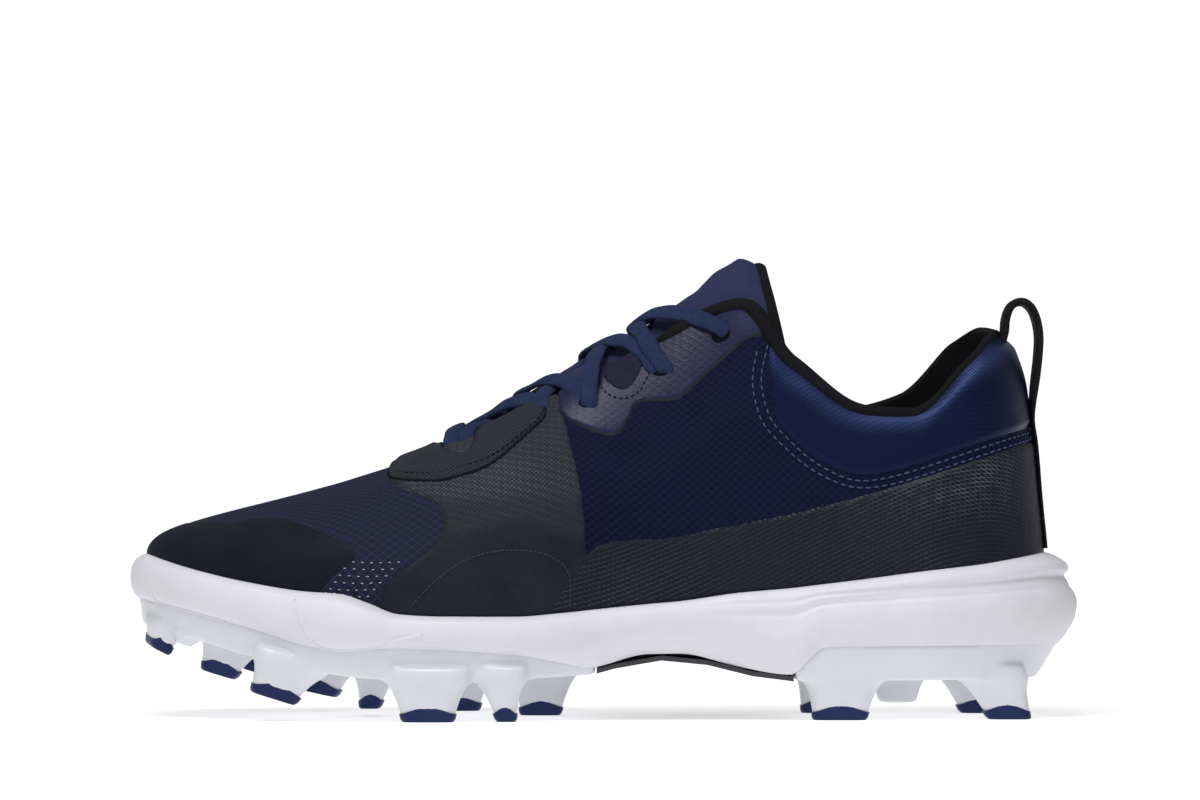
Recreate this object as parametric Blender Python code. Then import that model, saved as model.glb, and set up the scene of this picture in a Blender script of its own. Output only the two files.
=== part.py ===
"""Left baseball cleat: hollow upper, cupped midsole, studded outsole plates.

Metres, +Z up. The toe points to -X and the heel to +X, the lateral side
faces -Y and the medial side +Y. The floor under the studs is Z = 0.
"""

import math

import bmesh
import bpy
from mathutils import Vector

MM = 0.001

# Fits
GAP = 0.3 * MM
SOLE_FIT = 0.3 * MM

# Last and upper
LAST_LENGTH = 283 * MM
LAST_HEEL_X = 0.4912 * LAST_LENGTH
BALL_WIDTH = 97 * MM
INSTEP_HEIGHT = 131 * MM
HEEL_HEIGHT = 121 * MM
UPPER_WALL = 2.2 * MM

# Overlays on the upper
FILM_THICKNESS = 0.9 * MM
RAND_THICKNESS = 1.1 * MM
EYESTAY_THICKNESS = 2.2 * MM
PAD_EDGE = 1.0 * MM
PAD_PUFF = 2.4 * MM

# How far up the ribs the skins start, and the puff of the collar pad
SKIN_START = 0.016
PAD_START = 0.42

# Midsole
SIDEWALL_HEIGHT = 52 * MM
TOE_FLARE = 5.6 * MM
SIDE_FLARE = 5.4 * MM
HEEL_FLARE = 11.4 * MM
OUTRIGGER_FLARE = 3.0 * MM
WAIST_TUCK = 6.5 * MM
INSOLE_THICKNESS = 4.0 * MM

# Outsole and studs
STUD_HEIGHT = 12.5 * MM
PLATE_THICKNESS = 10 * MM
ARCH_PLATE_THICKNESS = 1.5 * MM
ARCH_PLATE_TUCK = 0.6 * MM
PLATE_TUCK = 5.0 * MM
TIP_HEIGHT = 2.4 * MM
TIP_PEAK = 2.2 * MM

# How far a stud's root sinks into its plate, as a share of the plate, and how
# much more than its body it spreads
ROOT_DEPTH = 0.36
ROOT_SPREAD = 1.7

# Tongue, laces and pull loop
TONGUE_FIT = 1.2 * MM
TONGUE_THICKNESS = 4.5 * MM
LACE_WIDTH = 5.2 * MM
LACE_THICKNESS = 1.8 * MM
LOOP_WIDTH = 13 * MM
LOOP_THICKNESS = 1.5 * MM

# Mesh steps: columns along one side of the foot, rows up the upper
SIDE_STEPS = 31
UPPER_ROWS = 8

# Rows run from the heel (share 0) to the toe (share 1) of the last.
# Half and centre are shares of the ball width, centre leans to the medial side.
OUTLINE_COLUMNS = ("share", "half", "centre")
OUTLINE_ROWS = (
    (0.00, 0.000, 0.000),
    (0.03, 0.222, 0.000),
    (0.08, 0.314, 0.000),
    (0.15, 0.351, 0.000),
    (0.25, 0.351, -0.005),
    (0.36, 0.345, -0.010),
    (0.46, 0.366, -0.012),
    (0.56, 0.433, -0.008),
    (0.64, 0.479, 0.000),
    (0.71, 0.500, 0.008),
    (0.79, 0.485, 0.020),
    (0.87, 0.428, 0.034),
    (0.93, 0.335, 0.046),
    (0.97, 0.222, 0.056),
    (1.00, 0.000, 0.060),
)

# Edge of the collar and throat that each rib climbs to. Edge_x is a share of
# the last's length, edge_y of the ball width, edge_z of the heel height
# behind the ankle and of the instep height in front of it.
EDGE_COLUMNS = ("share", "edge_x", "y_lateral", "y_medial", "z_lateral", "z_medial")
EDGE_ROWS = (
    (0.00, 0.051, 0.000, 0.000, 1.008, 1.008),
    (0.03, 0.065, 0.134, 0.134, 0.985, 1.018),
    (0.08, 0.093, 0.232, 0.232, 0.913, 0.979),
    (0.15, 0.150, 0.289, 0.289, 0.798, 0.845),
    (0.22, 0.215, 0.299, 0.299, 0.808, 0.808),
    (0.29, 0.282, 0.273, 0.273, 0.866, 0.840),
    (0.34, 0.336, 0.211, 0.211, 1.000, 0.970),
    (0.385, 0.380, 0.175, 0.165, 0.973, 0.958),
    (0.44, 0.435, 0.175, 0.160, 0.897, 0.924),
    (0.50, 0.493, 0.175, 0.160, 0.828, 0.878),
    (0.57, 0.563, 0.170, 0.155, 0.748, 0.786),
    (0.64, 0.623, 0.155, 0.145, 0.683, 0.702),
    (0.71, 0.657, 0.124, 0.113, 0.660, 0.668),
    (0.80, 0.674, 0.077, 0.072, 0.647, 0.649),
    (0.90, 0.681, 0.036, 0.036, 0.641, 0.641),
    (1.00, 0.683, 0.000, 0.000, 0.639, 0.639),
)
ANKLE_BACK = 0.20
ANKLE_FRONT = 0.30

# Curve of each rib: belly is a share of the ball width, rise and drop are
# shares of the rib's height, reach is a share of its run.
RIB_COLUMNS = ("share", "belly", "rise", "reach", "drop")
RIB_ROWS = (
    (0.00, -0.013, 0.22, 0.10, 0.16),
    (0.08, 0.005, 0.28, 0.25, 0.18),
    (0.15, 0.015, 0.32, 0.50, 0.24),
    (0.29, 0.018, 0.36, 0.50, 0.28),
    (0.34, 0.020, 0.40, 0.50, 0.25),
    (0.44, 0.020, 0.45, 0.50, 0.17),
    (0.50, 0.020, 0.48, 0.55, 0.13),
    (0.57, 0.018, 0.50, 0.60, 0.12),
    (0.64, 0.015, 0.50, 0.60, 0.10),
    (0.71, 0.010, 0.50, 0.55, 0.14),
    (0.80, 0.005, 0.47, 0.50, 0.27),
    (0.90, 0.000, 0.42, 0.50, 0.43),
    (1.00, -0.010, 0.39, 0.505, 0.59),
)

# Heights of the sole: feather and footbed are shares of the sidewall height,
# underside of the stud height, plate of the plate thickness.
SOLE_COLUMNS = ("share", "feather", "footbed", "underside", "plate")
SOLE_ROWS = (
    (0.000, 1.000, 0.790, 1.00, 1.04),
    (0.032, 0.970, 0.785, 1.00, 1.04),
    (0.077, 0.930, 0.765, 1.00, 1.04),
    (0.144, 0.887, 0.740, 0.99, 1.04),
    (0.211, 0.838, 0.705, 0.98, 1.04),
    (0.246, 0.815, 0.685, 0.98, 1.02),
    (0.285, 0.790, 0.660, 0.97, 0.18),
    (0.342, 0.762, 0.630, 1.16, 0.18),
    (0.405, 0.713, 0.600, 1.48, 0.18),
    (0.440, 0.696, 0.582, 1.47, 0.18),
    (0.503, 0.662, 0.556, 1.14, 0.18),
    (0.535, 0.644, 0.545, 1.09, 0.40),
    (0.585, 0.623, 0.530, 1.04, 0.72),
    (0.665, 0.625, 0.522, 1.01, 0.92),
    (0.711, 0.638, 0.525, 1.03, 0.95),
    (0.746, 0.706, 0.545, 1.07, 0.88),
    (0.775, 0.756, 0.560, 1.14, 0.76),
    (0.813, 0.771, 0.585, 1.28, 0.72),
    (0.880, 0.827, 0.650, 1.62, 0.86),
    (0.947, 0.908, 0.725, 2.05, 0.80),
    (1.000, 0.990, 0.780, 2.30, 0.80),
)

# Side of the midsole from its underside (height 0) to its rim (height 1);
# front and rear are shares of the flare there.
SIDE_COLUMNS = ("height", "front", "rear")
SIDE_ROWS = (
    (0.00, 0.50, 0.48),
    (0.12, 0.80, 0.72),
    (0.30, 0.95, 0.95),
    (0.45, 1.00, 1.00),
    (0.60, 0.98, 0.86),
    (0.73, 0.90, 0.68),
    (0.80, 0.82, 0.78),
    (0.87, 0.70, 0.72),
    (0.96, 0.40, 0.40),
)

# Shares along the last where the side turns to its rear form, where the two
# plates end, and where the outrigger stands out and how long half of it is
REAR_SIDE_START = 0.42
REAR_SIDE_FULL = 0.17
FOREFOOT_PLATE_END = 0.495
HEEL_PLATE_END = 0.28
OUTRIGGER_PLACE = 0.76
OUTRIGGER_HALF = 0.07

# Side of a plate: height is a share of its thickness, tuck of the plate's.
PLATE_SIDE_ROWS = ((0.0, 1.00), (0.35, 0.62), (0.7, 0.30), (1.0, 0.00))

# Studs from the toe: share is the place of the tip's middle along the last,
# across a share of the ball width. Floor is the height of that middle, length
# and width are the tip's, lean is how far its root lies toward the heel and
# spread how much longer and wider its root is, all as shares of the stud
# height. Turn is seen from above and tilt lifts its front, in degrees.
STUD_COLUMNS = ("name", "share", "across", "floor", "length", "width", "turn", "tilt", "lean", "spread")
FOREFOOT_STUDS = (
    ("toe_lateral", 0.985, -0.10, 1.72, 0.50, 0.95, 20, 27, 0.15, 0.25),
    ("toe_centre", 0.920, 0.03, 1.05, 0.90, 1.10, 0, 17, 0.30, 0.50),
    ("toe_medial", 0.895, 0.32, 1.10, 0.90, 0.70, -20, 17, 0.25, 0.40),
    ("front_lateral", 0.850, -0.41, 0.57, 1.10, 0.70, 12, 18, 0.40, 0.55),
    ("front_medial", 0.815, 0.41, 0.45, 0.95, 0.70, -12, 12, 0.25, 0.50),
    ("mid_centre", 0.750, 0.00, 0.20, 0.55, 1.05, 0, 0, 0.15, 0.50),
    ("ball_lateral", 0.680, -0.46, 0.00, 1.30, 0.80, 0, 0, 0.00, 0.70),
    ("ball_medial", 0.655, 0.45, 0.00, 1.10, 0.80, 0, 0, 0.00, 0.65),
    ("side_lateral", 0.595, -0.44, 0.00, 0.50, 0.65, 0, 0, -0.15, 0.70),
    ("rear_centre", 0.560, 0.08, 0.00, 1.05, 0.70, 0, 0, 0.10, 0.55),
)
HEEL_STUDS = (
    ("heel_front_lateral", 0.230, -0.30, 0.00, 1.35, 0.70, 0, 0, 0.10, 0.55),
    ("heel_front_medial", 0.245, 0.27, 0.00, 0.90, 0.70, 0, 0, 0.10, 0.40),
    ("heel_rear_lateral", 0.042, -0.23, 0.00, 1.10, 0.80, 0, 0, -0.40, 0.55),
    ("heel_rear_medial", 0.060, 0.27, 0.00, 1.10, 0.80, 0, 0, -0.30, 0.55),
)

# Nubs without a coloured tip, in the studs' columns
FOREFOOT_NUBS = (("toe_nub", 0.955, -0.20, 1.85, 0.40, 0.55, 20, 20, 0.10, 0.25),)
HEEL_NUBS = (("heel_nub", 0.160, 0.04, 0.35, 0.95, 1.60, 0, 0, 0.00, 0.40),)

# Outlines of the overlays as seen from the side: the share along the last and
# the height as a share of the instep height
TOE_CAP_OUTLINE = (
    (1.09, 0.15), (1.09, 0.69), (0.915, 0.69), (0.895, 0.51), (0.875, 0.485), (0.81, 0.465),
    (0.785, 0.445), (0.755, 0.415), (0.76, 0.38), (0.78, 0.345), (0.79, 0.305), (0.79, 0.15),
)
SADDLE_OUTLINE = (
    (0.717, 0.555), (0.696, 0.538), (0.67, 0.515), (0.66, 0.48), (0.665, 0.425), (0.685, 0.385),
    (0.715, 0.33), (0.73, 0.285), (0.73, 0.15), (0.509, 0.15), (0.509, 0.395), (0.517, 0.57),
    (0.529, 0.67), (0.54, 0.77), (0.543, 0.77), (0.543, 0.73), (0.551, 0.695), (0.587, 0.633),
    (0.622, 0.583), (0.67, 0.553),
)
EYESTAY_OUTLINE = (
    (0.725, 0.595), (0.708, 0.765), (0.545, 0.80), (0.545, 0.735), (0.553, 0.70), (0.587, 0.64),
    (0.622, 0.59), (0.67, 0.56), (0.723, 0.57),
)
FILM_OUTLINE = (
    (0.538, 0.775), (0.531, 0.715), (0.505, 0.70), (0.48, 0.685), (0.468, 0.695), (0.458, 0.735),
    (0.447, 0.76), (0.412, 0.76), (0.396, 0.775), (0.336, 0.885), (0.315, 0.925), (0.336, 1.145),
    (0.538, 1.145),
)

# Outlines of the overlays round the heel: the height is a share of the heel height
RAND_OUTLINE = (
    (0.505, 0.165), (0.505, 0.43), (0.415, 0.465), (0.31, 0.51), (0.26, 0.54), (0.175, 0.595),
    (0.07, 0.67), (0.01, 0.715), (-0.11, 0.725), (-0.11, 0.165),
)
PAD_OUTLINE = (
    (0.305, 1.075), (0.305, 0.87), (0.302, 0.80), (0.286, 0.74), (0.258, 0.68), (0.23, 0.645),
    (0.208, 0.633), (0.165, 0.645), (0.11, 0.69), (0.05, 0.735), (-0.005, 0.77),
    (-0.11, 0.795), (-0.11, 1.405), (0.305, 1.405),
)

# Places round the foot that each overlay's skin spans, from 0 at the heel over
# the lateral side to 1 at the toe and 2 at the heel again, and the rows of the
# upper that it takes
SKIN_SPANS = {
    "toe_cap": (0.62, 1.38, 0, 9),
    "saddle_lateral": (0.42, 0.78, 0, 9),
    "saddle_medial": (1.22, 1.58, 0, 9),
    "eyestay_front": (0.45, 1.55, 3, 9),
    "eyestay_film_lateral": (0.34, 0.58, 3, 9),
    "eyestay_film_medial": (1.42, 1.66, 3, 9),
    "heel_rand": (1.44, 2.56, 0, 7),
    "collar_pad": (1.55, 2.45, 3, 9),
}

# Tongue by share along the last: crest above the throat's edges and how far it
# leans to the toe, as shares of the instep height, and how far up the ribs its
# wings start.
TONGUE_COLUMNS = ("share", "crest", "wing", "lean")
TONGUE_ROWS = (
    (0.300, 0.220, 0.990, 0.050),
    (0.318, 0.165, 0.985, 0.025),
    (0.335, 0.130, 0.980, 0.020),
    (0.350, 0.115, 0.970, 0.015),
    (0.368, 0.100, 0.950, 0.010),
    (0.395, 0.055, 0.930, 0.000),
    (0.440, 0.030, 0.900, 0.000),
    (0.500, 0.015, 0.880, 0.000),
    (0.570, 0.010, 0.880, 0.000),
    (0.640, 0.005, 0.880, 0.000),
    (0.700, -0.005, 0.880, 0.000),
    (0.750, -0.025, 0.850, 0.030),
    (0.790, -0.055, 0.850, 0.075),
)

# Rows of eyelets from the toe end: share along the last, how far up the ribs
# the eyelet lies (1 is the edge), the overlay it is let into, the lace's height
# over that as a share of its thickness, and how far the lace arches over the
# tongue as a share of the instep height.
LACE_COLUMNS = ("share", "up", "layer", "over", "arch")
LACE_ROWS = (
    (0.665, 0.93, "eyestay", 0.40, 0.015),
    (0.590, 0.91, "eyestay", 0.40, 0.018),
    (0.510, 0.80, "film", 0.60, 0.018),
    (0.428, 0.81, "film", 0.85, 0.032),
    (0.362, 0.86, "film", 0.60, 0.070),
)
LACE_LAYERS = {"eyestay": EYESTAY_THICKNESS, "film": FILM_THICKNESS}
LACE_STEPS = 8
THROAT_INSET = 3.2 * MM

# Slope of the instep that the laces lie on, and how round it is from side to side
LACE_LEAN = 0.45
THROAT_ROUND = 24 * MM

# Middle of the pull loop's webbing above the heel: the share along the last and
# the height as a share of the heel height
LOOP_ROUTE = (
    (0.047, 1.015), (0.044, 1.055), (0.035, 1.083), (0.023, 1.092), (0.012, 1.08),
    (0.004, 1.045), (0.001, 1.0), (0.0015, 0.95), (0.0045, 0.90), (0.0085, 0.855),
)
LOOP_DOWN = (0.60, 0.50, 0.40, 0.30, 0.20, 0.10)

COLOURS = {
    "navy_ripstop": ((0.016, 0.021, 0.050), 0.65),
    "dark_film": ((0.013, 0.015, 0.025), 0.45),
    "saddle_mesh": ((0.022, 0.026, 0.038), 0.6),
    "padded_mesh": ((0.025, 0.030, 0.048), 0.8),
    "violet_film": ((0.048, 0.052, 0.115), 0.4),
    "satin": ((0.012, 0.015, 0.047), 0.45),
    "textured_rubber": ((0.015, 0.017, 0.030), 0.5),
    "tongue_cloth": ((0.030, 0.034, 0.080), 0.7),
    "black_webbing": ((0.010, 0.009, 0.010), 0.85),
    "white_foam": ((0.68, 0.70, 0.74), 0.55),
    "white_plastic": ((0.66, 0.70, 0.75), 0.35),
    "black_plastic": ((0.010, 0.011, 0.016), 0.4),
    "blue_plastic": ((0.014, 0.028, 0.092), 0.35),
    "insole_cloth": ((0.020, 0.020, 0.024), 0.9),
    "lace_cloth": ((0.025, 0.042, 0.115), 0.8),
}


def clear_scene():
    for old in list(bpy.data.objects):
        bpy.data.objects.remove(old, do_unlink=True)


def make_collection(name):
    made = bpy.data.collections.new(name)
    bpy.context.scene.collection.children.link(made)
    return made


def make_material(name):
    colour, roughness = COLOURS[name]
    material = bpy.data.materials.new(name)
    material.use_nodes = True
    shader = material.node_tree.nodes["Principled BSDF"]
    shader.inputs["Base Color"].default_value = (*colour, 1.0)
    shader.inputs["Roughness"].default_value = roughness
    shader.inputs["Metallic"].default_value = 0.0
    return material


def add_object(name, points, faces, material, collection):
    """One closed mesh object with its faces turned outward."""
    mesh = bpy.data.meshes.new(name)
    mesh.from_pydata([tuple(point) for point in points], [], faces)
    work = bmesh.new()
    work.from_mesh(mesh)
    bmesh.ops.recalc_face_normals(work, faces=work.faces)
    work.to_mesh(mesh)
    work.free()
    mesh.shade_smooth()
    mesh.set_sharp_from_angle(angle=math.radians(40))
    made = bpy.data.objects.new(name, mesh)
    if material is not None:
        mesh.materials.append(material)
    collection.objects.link(made)
    return made


def hide_cutter(cutter):
    cutter.hide_render = True
    cutter.display_type = "WIRE"


def boolean(target, cutter, operation):
    step = target.modifiers.new(cutter.name, "BOOLEAN")
    step.operation = operation
    step.solver = "EXACT"
    step.object = cutter


def mix(start, end, share):
    return start + (end - start) * share


def ease(low, high, value):
    """Smooth step from 0 at low to 1 at high."""
    share = min(1.0, max(0.0, (value - low) / (high - low)))
    return share * share * (3 - 2 * share)


def make_curve(keys, values):
    """Smooth curve through a table's column that never overshoots its rows."""
    count = len(keys)
    chords = [(values[i + 1] - values[i]) / (keys[i + 1] - keys[i]) for i in range(count - 1)]
    slopes = [chords[0]]
    for before, after in zip(chords, chords[1:]):
        if before * after <= 0:
            slopes.append(0.0)
        else:
            slopes.append(2 * before * after / (before + after))
    slopes.append(chords[-1])

    def curve(key):
        key = min(keys[-1], max(keys[0], key))
        i = 0
        while i < count - 2 and key > keys[i + 1]:
            i += 1
        step = keys[i + 1] - keys[i]
        t = (key - keys[i]) / step
        start = values[i] * (1 + 2 * t) * (1 - t) ** 2 + slopes[i] * step * t * (1 - t) ** 2
        end = values[i + 1] * (3 - 2 * t) * t * t - slopes[i + 1] * step * (1 - t) * t * t
        return start + end

    return curve


def angle_of(share):
    """Angle round the last for a share of its length, 0 at the heel, pi at the toe."""
    return math.acos(1 - 2 * min(1.0, max(0.0, share)))


def read_table(columns, rows, by_angle=True):
    keys = [angle_of(row[0]) if by_angle else row[0] for row in rows]
    return {name: make_curve(keys, [row[i] for row in rows])
            for i, name in enumerate(columns) if i > 0}


OUTLINE = read_table(OUTLINE_COLUMNS, OUTLINE_ROWS)
EDGE = read_table(EDGE_COLUMNS, EDGE_ROWS)
RIB = read_table(RIB_COLUMNS, RIB_ROWS)
SOLE = read_table(SOLE_COLUMNS, SOLE_ROWS, by_angle=False)
SIDE = read_table(SIDE_COLUMNS, SIDE_ROWS, by_angle=False)


def share_at(x):
    return (LAST_HEEL_X - x) / LAST_LENGTH


def x_at(share):
    return LAST_HEEL_X - share * LAST_LENGTH


def feather_z(x):
    return SOLE["feather"](share_at(x)) * SIDEWALL_HEIGHT


def footbed_z(x):
    return SOLE["footbed"](share_at(x)) * SIDEWALL_HEIGHT


def underside_z(x):
    return SOLE["underside"](share_at(x)) * STUD_HEIGHT


def plate_top_z(x):
    return underside_z(x) + SOLE["plate"](share_at(x)) * PLATE_THICKNESS


def turn_of(u):
    """Angle and side of a place round the foot: 0 heel, 1 toe, 2 heel again."""
    u = u % 2.0
    if u <= 1.0:
        return math.pi * u, -1
    return math.pi * (2 - u), 1


def outline_point(u):
    angle, side = turn_of(u)
    x = LAST_HEEL_X - LAST_LENGTH * (1 - math.cos(angle)) / 2
    y = (OUTLINE["centre"](angle) + side * OUTLINE["half"](angle)) * BALL_WIDTH
    return Vector((x, y, 0))


def outline_normal(u):
    step = 1e-3
    along = outline_point(u + step) - outline_point(u - step)
    return Vector((-along.y, along.x, 0)).normalized()


def offset_point(u, offset, height):
    """A point beside the last's outline; height is a function of x."""
    point = outline_point(u) + outline_normal(u) * offset
    point.z = height(point.x)
    return point


def rib_point(u, v):
    """A point of the upper's outer face: v is 0 at the feather line, 1 at the edge."""
    angle, side = turn_of(u)
    foot = outline_point(u)
    word = "lateral" if side < 0 else "medial"
    edge = Vector((x_at(EDGE["edge_x"](angle)),
                   side * EDGE["y_" + word](angle) * BALL_WIDTH, 0))
    share = (1 - math.cos(angle)) / 2
    reference = mix(HEEL_HEIGHT, INSTEP_HEIGHT, ease(ANKLE_BACK, ANKLE_FRONT, share))
    low = feather_z(foot.x)
    high = EDGE["z_" + word](angle) * reference
    run = (edge - foot).length
    inward = (edge - foot).normalized()
    belly = RIB["belly"](angle) * BALL_WIDTH
    rise = RIB["rise"](angle) * (high - low)
    reach = RIB["reach"](angle) * run
    drop = RIB["drop"](angle) * (high - low)
    near = 3 * v * (1 - v) ** 2
    far = 3 * v * v * (1 - v)
    plan = near * -belly + far * (run - reach) + v ** 3 * run
    height = (1 - v) ** 3 * low + near * (low + rise) + far * (high - drop) + v ** 3 * high
    point = foot + inward * plan
    point.z = height
    return point


def upper_point(u, v, offset):
    """A point off the upper's outer face, along its outward normal."""
    step = 1e-3
    low = max(0.0, v - step)
    high = min(1.0, v + step)
    across = rib_point(u + step, v) - rib_point(u - step, v)
    up = rib_point(u, high) - rib_point(u, low)
    normal = up.cross(across).normalized()
    if v <= 0.0:
        normal = outline_normal(u)
    return rib_point(u, v) + normal * offset


def columns_round():
    return [i / SIDE_STEPS for i in range(2 * SIDE_STEPS)]


def place_at(share):
    """Place on the lateral side at a share along the last."""
    return angle_of(share) / math.pi


def mirror_place(u):
    return 2.0 - u


def sole_places():
    """Places round the sole: the upper's own, with the ends of the plates among them."""
    ends = [place_at(share) for share in (FOREFOOT_PLATE_END, HEEL_PLATE_END)]
    lateral = [u for u in columns_round() if u <= 1.0]
    lateral = [u for u in lateral if all(abs(u - end) > 0.4 / SIDE_STEPS for end in ends)]
    lateral = sorted(lateral + ends)
    return lateral + [mirror_place(u) for u in reversed(lateral[1:-1])]


def upper_rows():
    return [i / UPPER_ROWS for i in range(UPPER_ROWS + 1)]


def slab(name, outer, inner, wrap, material, collection):
    """A closed solid between two grids of points, wrap joins its first and last column."""
    count = len(outer)
    rows = len(outer[0])
    points = [point for column in outer for point in column]
    points += [point for column in inner for point in column]
    half = count * rows
    faces = []
    for i in range(count if wrap else count - 1):
        a = i * rows
        b = ((i + 1) % count) * rows
        for j in range(rows - 1):
            for start in (0, half):
                low, high = start + a + j, start + b + j
                faces.append((low, low + 1, high + 1))
                faces.append((low, high + 1, high))
        faces.append((a, b, half + b, half + a))
        faces.append((a + rows - 1, half + a + rows - 1, half + b + rows - 1, b + rows - 1))
    if not wrap:
        for a in (0, (count - 1) * rows):
            for j in range(rows - 1):
                faces.append((a + j, half + a + j, half + a + j + 1, a + j + 1))
    return add_object(name, points, faces, material, collection)


def ring_solid(name, columns, paired_from_start, material, collection):
    """A closed solid from columns of points round a loop, with strips across its ends.

    The strip across joins column i to the one that mirrors it: counted from
    the first column on a full loop, or from the two ends of a cut one.
    """
    count = len(columns)
    rows = len(columns[0])
    points = [point for column in columns for point in column]
    faces = []
    for i in range(count):
        a = i * rows
        b = ((i + 1) % count) * rows
        for j in range(rows - 1):
            faces.append((a + j, b + j, b + j + 1, a + j + 1))
    for i in range((count + 1) // 2):
        twin = (count - i) % count if paired_from_start else count - 1 - i
        after = i + 1
        twin_after = twin - 1 if twin else count - 1
        if after > twin_after:
            continue
        for j in (0, rows - 1):
            a, b, c, d = (k * rows + j for k in (i, after, twin_after, twin))
            rearward = points[a].x > points[b].x
            halves = ((a, b, c), (a, c, d)) if rearward else ((a, b, d), (b, c, d))
            faces += [half for half in halves if len(set(half)) == 3]
    return add_object(name, points, faces, material, collection)


def flare_at(u, x):
    """How far the midsole stands out from the last at a place round the foot."""
    normal = outline_normal(u)
    end = HEEL_FLARE if normal.x > 0 else TOE_FLARE
    flare = mix(SIDE_FLARE, end, abs(normal.x) ** 3)
    if normal.y < 0:
        apart = abs(share_at(x) - OUTRIGGER_PLACE) / OUTRIGGER_HALF
        flare += OUTRIGGER_FLARE * (1 - ease(0, 1, apart))
    return flare


def side_offset(u, height):
    x = outline_point(u).x
    share = share_at(x)
    rear = 1 - ease(REAR_SIDE_FULL, REAR_SIDE_START, share)
    shape = mix(SIDE["front"](height), SIDE["rear"](height), rear)
    waist = ease(0.26, 0.36, share) * (1 - ease(0.46, 0.60, share))
    return flare_at(u, x) * shape - WAIST_TUCK * waist * (1 - height) ** 2


def midsole_height(level):
    """Height function of one level of the midsole's side."""
    return lambda x: mix(plate_top_z(x) + SOLE_FIT, feather_z(x), level)


def make_midsole(parts, materials):
    columns = []
    for u in sole_places():
        column = [offset_point(u, side_offset(u, row[0]), midsole_height(row[0])) for row in SIDE_ROWS]
        column.append(offset_point(u, SOLE_FIT, feather_z))
        column.append(offset_point(u, SOLE_FIT, footbed_z))
        columns.append(column)
    ring_solid("midsole", columns, True, materials["white_foam"], parts)


def plate_columns(places, thickness):
    columns = []
    for u in places:
        column = []
        for level, tuck in PLATE_SIDE_ROWS:
            offset = side_offset(u, 0) - PLATE_TUCK * tuck
            column.append(offset_point(u, offset, lambda x: underside_z(x) + thickness(x) * level))
        columns.append(column)
    return columns


def places_between(low, high):
    """The sole's places on the lateral side between two places, and those two."""
    inner = [u for u in sole_places() if low + 1e-4 < u < high - 1e-4]
    return [low] + inner + [high]


def full_thickness(x):
    return plate_top_z(x) - underside_z(x)


def make_arch_plate(parts, materials):
    fit = SOLE_FIT / LAST_LENGTH
    lateral = places_between(place_at(HEEL_PLATE_END + fit), place_at(FOREFOOT_PLATE_END - fit))
    places = lateral + [mirror_place(u) for u in reversed(lateral)]
    columns = []
    for u in places:
        offset = side_offset(u, 0)
        bottom = offset_point(u, offset - ARCH_PLATE_TUCK, underside_z)
        top = offset_point(u, offset, lambda x: underside_z(x) + ARCH_PLATE_THICKNESS)
        columns.append([bottom, top])
    ring_solid("arch_plate", columns, False, materials["black_plastic"], parts)


STUD_SECTION = ((-1.0, 0.5), (-0.75, 1.0), (0.0, 1.0), (0.75, 1.0), (1.0, 0.5),
                (1.0, -0.5), (0.75, -1.0), (0.0, -1.0), (-0.75, -1.0), (-1.0, -0.5))


def stud_ring(stud, grow, shift, height, peak):
    """Ten points round a stud; peak lifts its middle above its ends."""
    turn = math.radians(stud["turn"])
    slope = math.tan(math.radians(stud["tilt"]))
    ring = []
    for along, across in STUD_SECTION:
        dx = along * (stud["length"] * STUD_HEIGHT / 2 + grow)
        dy = across * (stud["width"] * STUD_HEIGHT / 2 + grow * 0.5)
        forward = dx * math.cos(turn) - dy * math.sin(turn)
        x = x_at(stud["share"]) + shift + forward
        y = stud["across"] * BALL_WIDTH + dx * math.sin(turn) + dy * math.cos(turn)
        ring.append(Vector((x, y, height + peak * (1 - abs(along)) - forward * slope)))
    return ring


def stud_solid(name, rings, material, collection):
    points = [point for ring in rings for point in ring]
    count = len(STUD_SECTION)
    faces = []
    for k in range(len(rings) - 1):
        for i in range(count):
            a = k * count
            after = (i + 1) % count
            faces.append((a + i, a + after, a + count + after, a + count + i))
    for base in (0, (len(rings) - 1) * count):
        for i in range(4):
            faces.append((base + i, base + i + 1, base + count - 2 - i, base + count - 1 - i))
    return add_object(name, points, faces, material, collection)


def make_stud(row, plate, parts, cutters, materials, tipped=True):
    """A stud's root, joined to its plate, and its coloured tip if it has one."""
    stud = dict(zip(STUD_COLUMNS, row))
    floor = stud["floor"] * STUD_HEIGHT
    lean = stud["lean"] * STUD_HEIGHT
    spread = stud["spread"] * STUD_HEIGHT / 2
    middle = x_at(stud["share"]) + lean
    plate_low = underside_z(middle)
    tip_share = TIP_HEIGHT / (plate_low - floor) if tipped else 0.0
    tip_grow = spread * tip_share
    root_low = floor
    root_grow = spread * ROOT_SPREAD
    reach = stud["length"] * STUD_HEIGHT / 2 + root_grow
    depth = ROOT_DEPTH * min(full_thickness(middle - reach), full_thickness(middle + reach))
    if tipped:
        tip = [stud_ring(stud, 0, 0, floor, 0),
               stud_ring(stud, tip_grow, lean * tip_share, floor + TIP_HEIGHT, TIP_PEAK)]
        stud_solid("tip_" + stud["name"], tip, materials["blue_plastic"], parts)
        root_low = floor + TIP_HEIGHT + GAP
    body = [stud_ring(stud, tip_grow, lean * tip_share, root_low, TIP_PEAK if tipped else 0),
            stud_ring(stud, spread * 0.75, lean * 0.75, mix(root_low, plate_low, 0.7), 0),
            stud_ring(stud, root_grow, lean * 1.2, plate_low + depth, 0)]
    root = stud_solid("root_" + stud["name"], body, None, cutters)
    hide_cutter(root)
    boolean(plate, root, "UNION")


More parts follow.
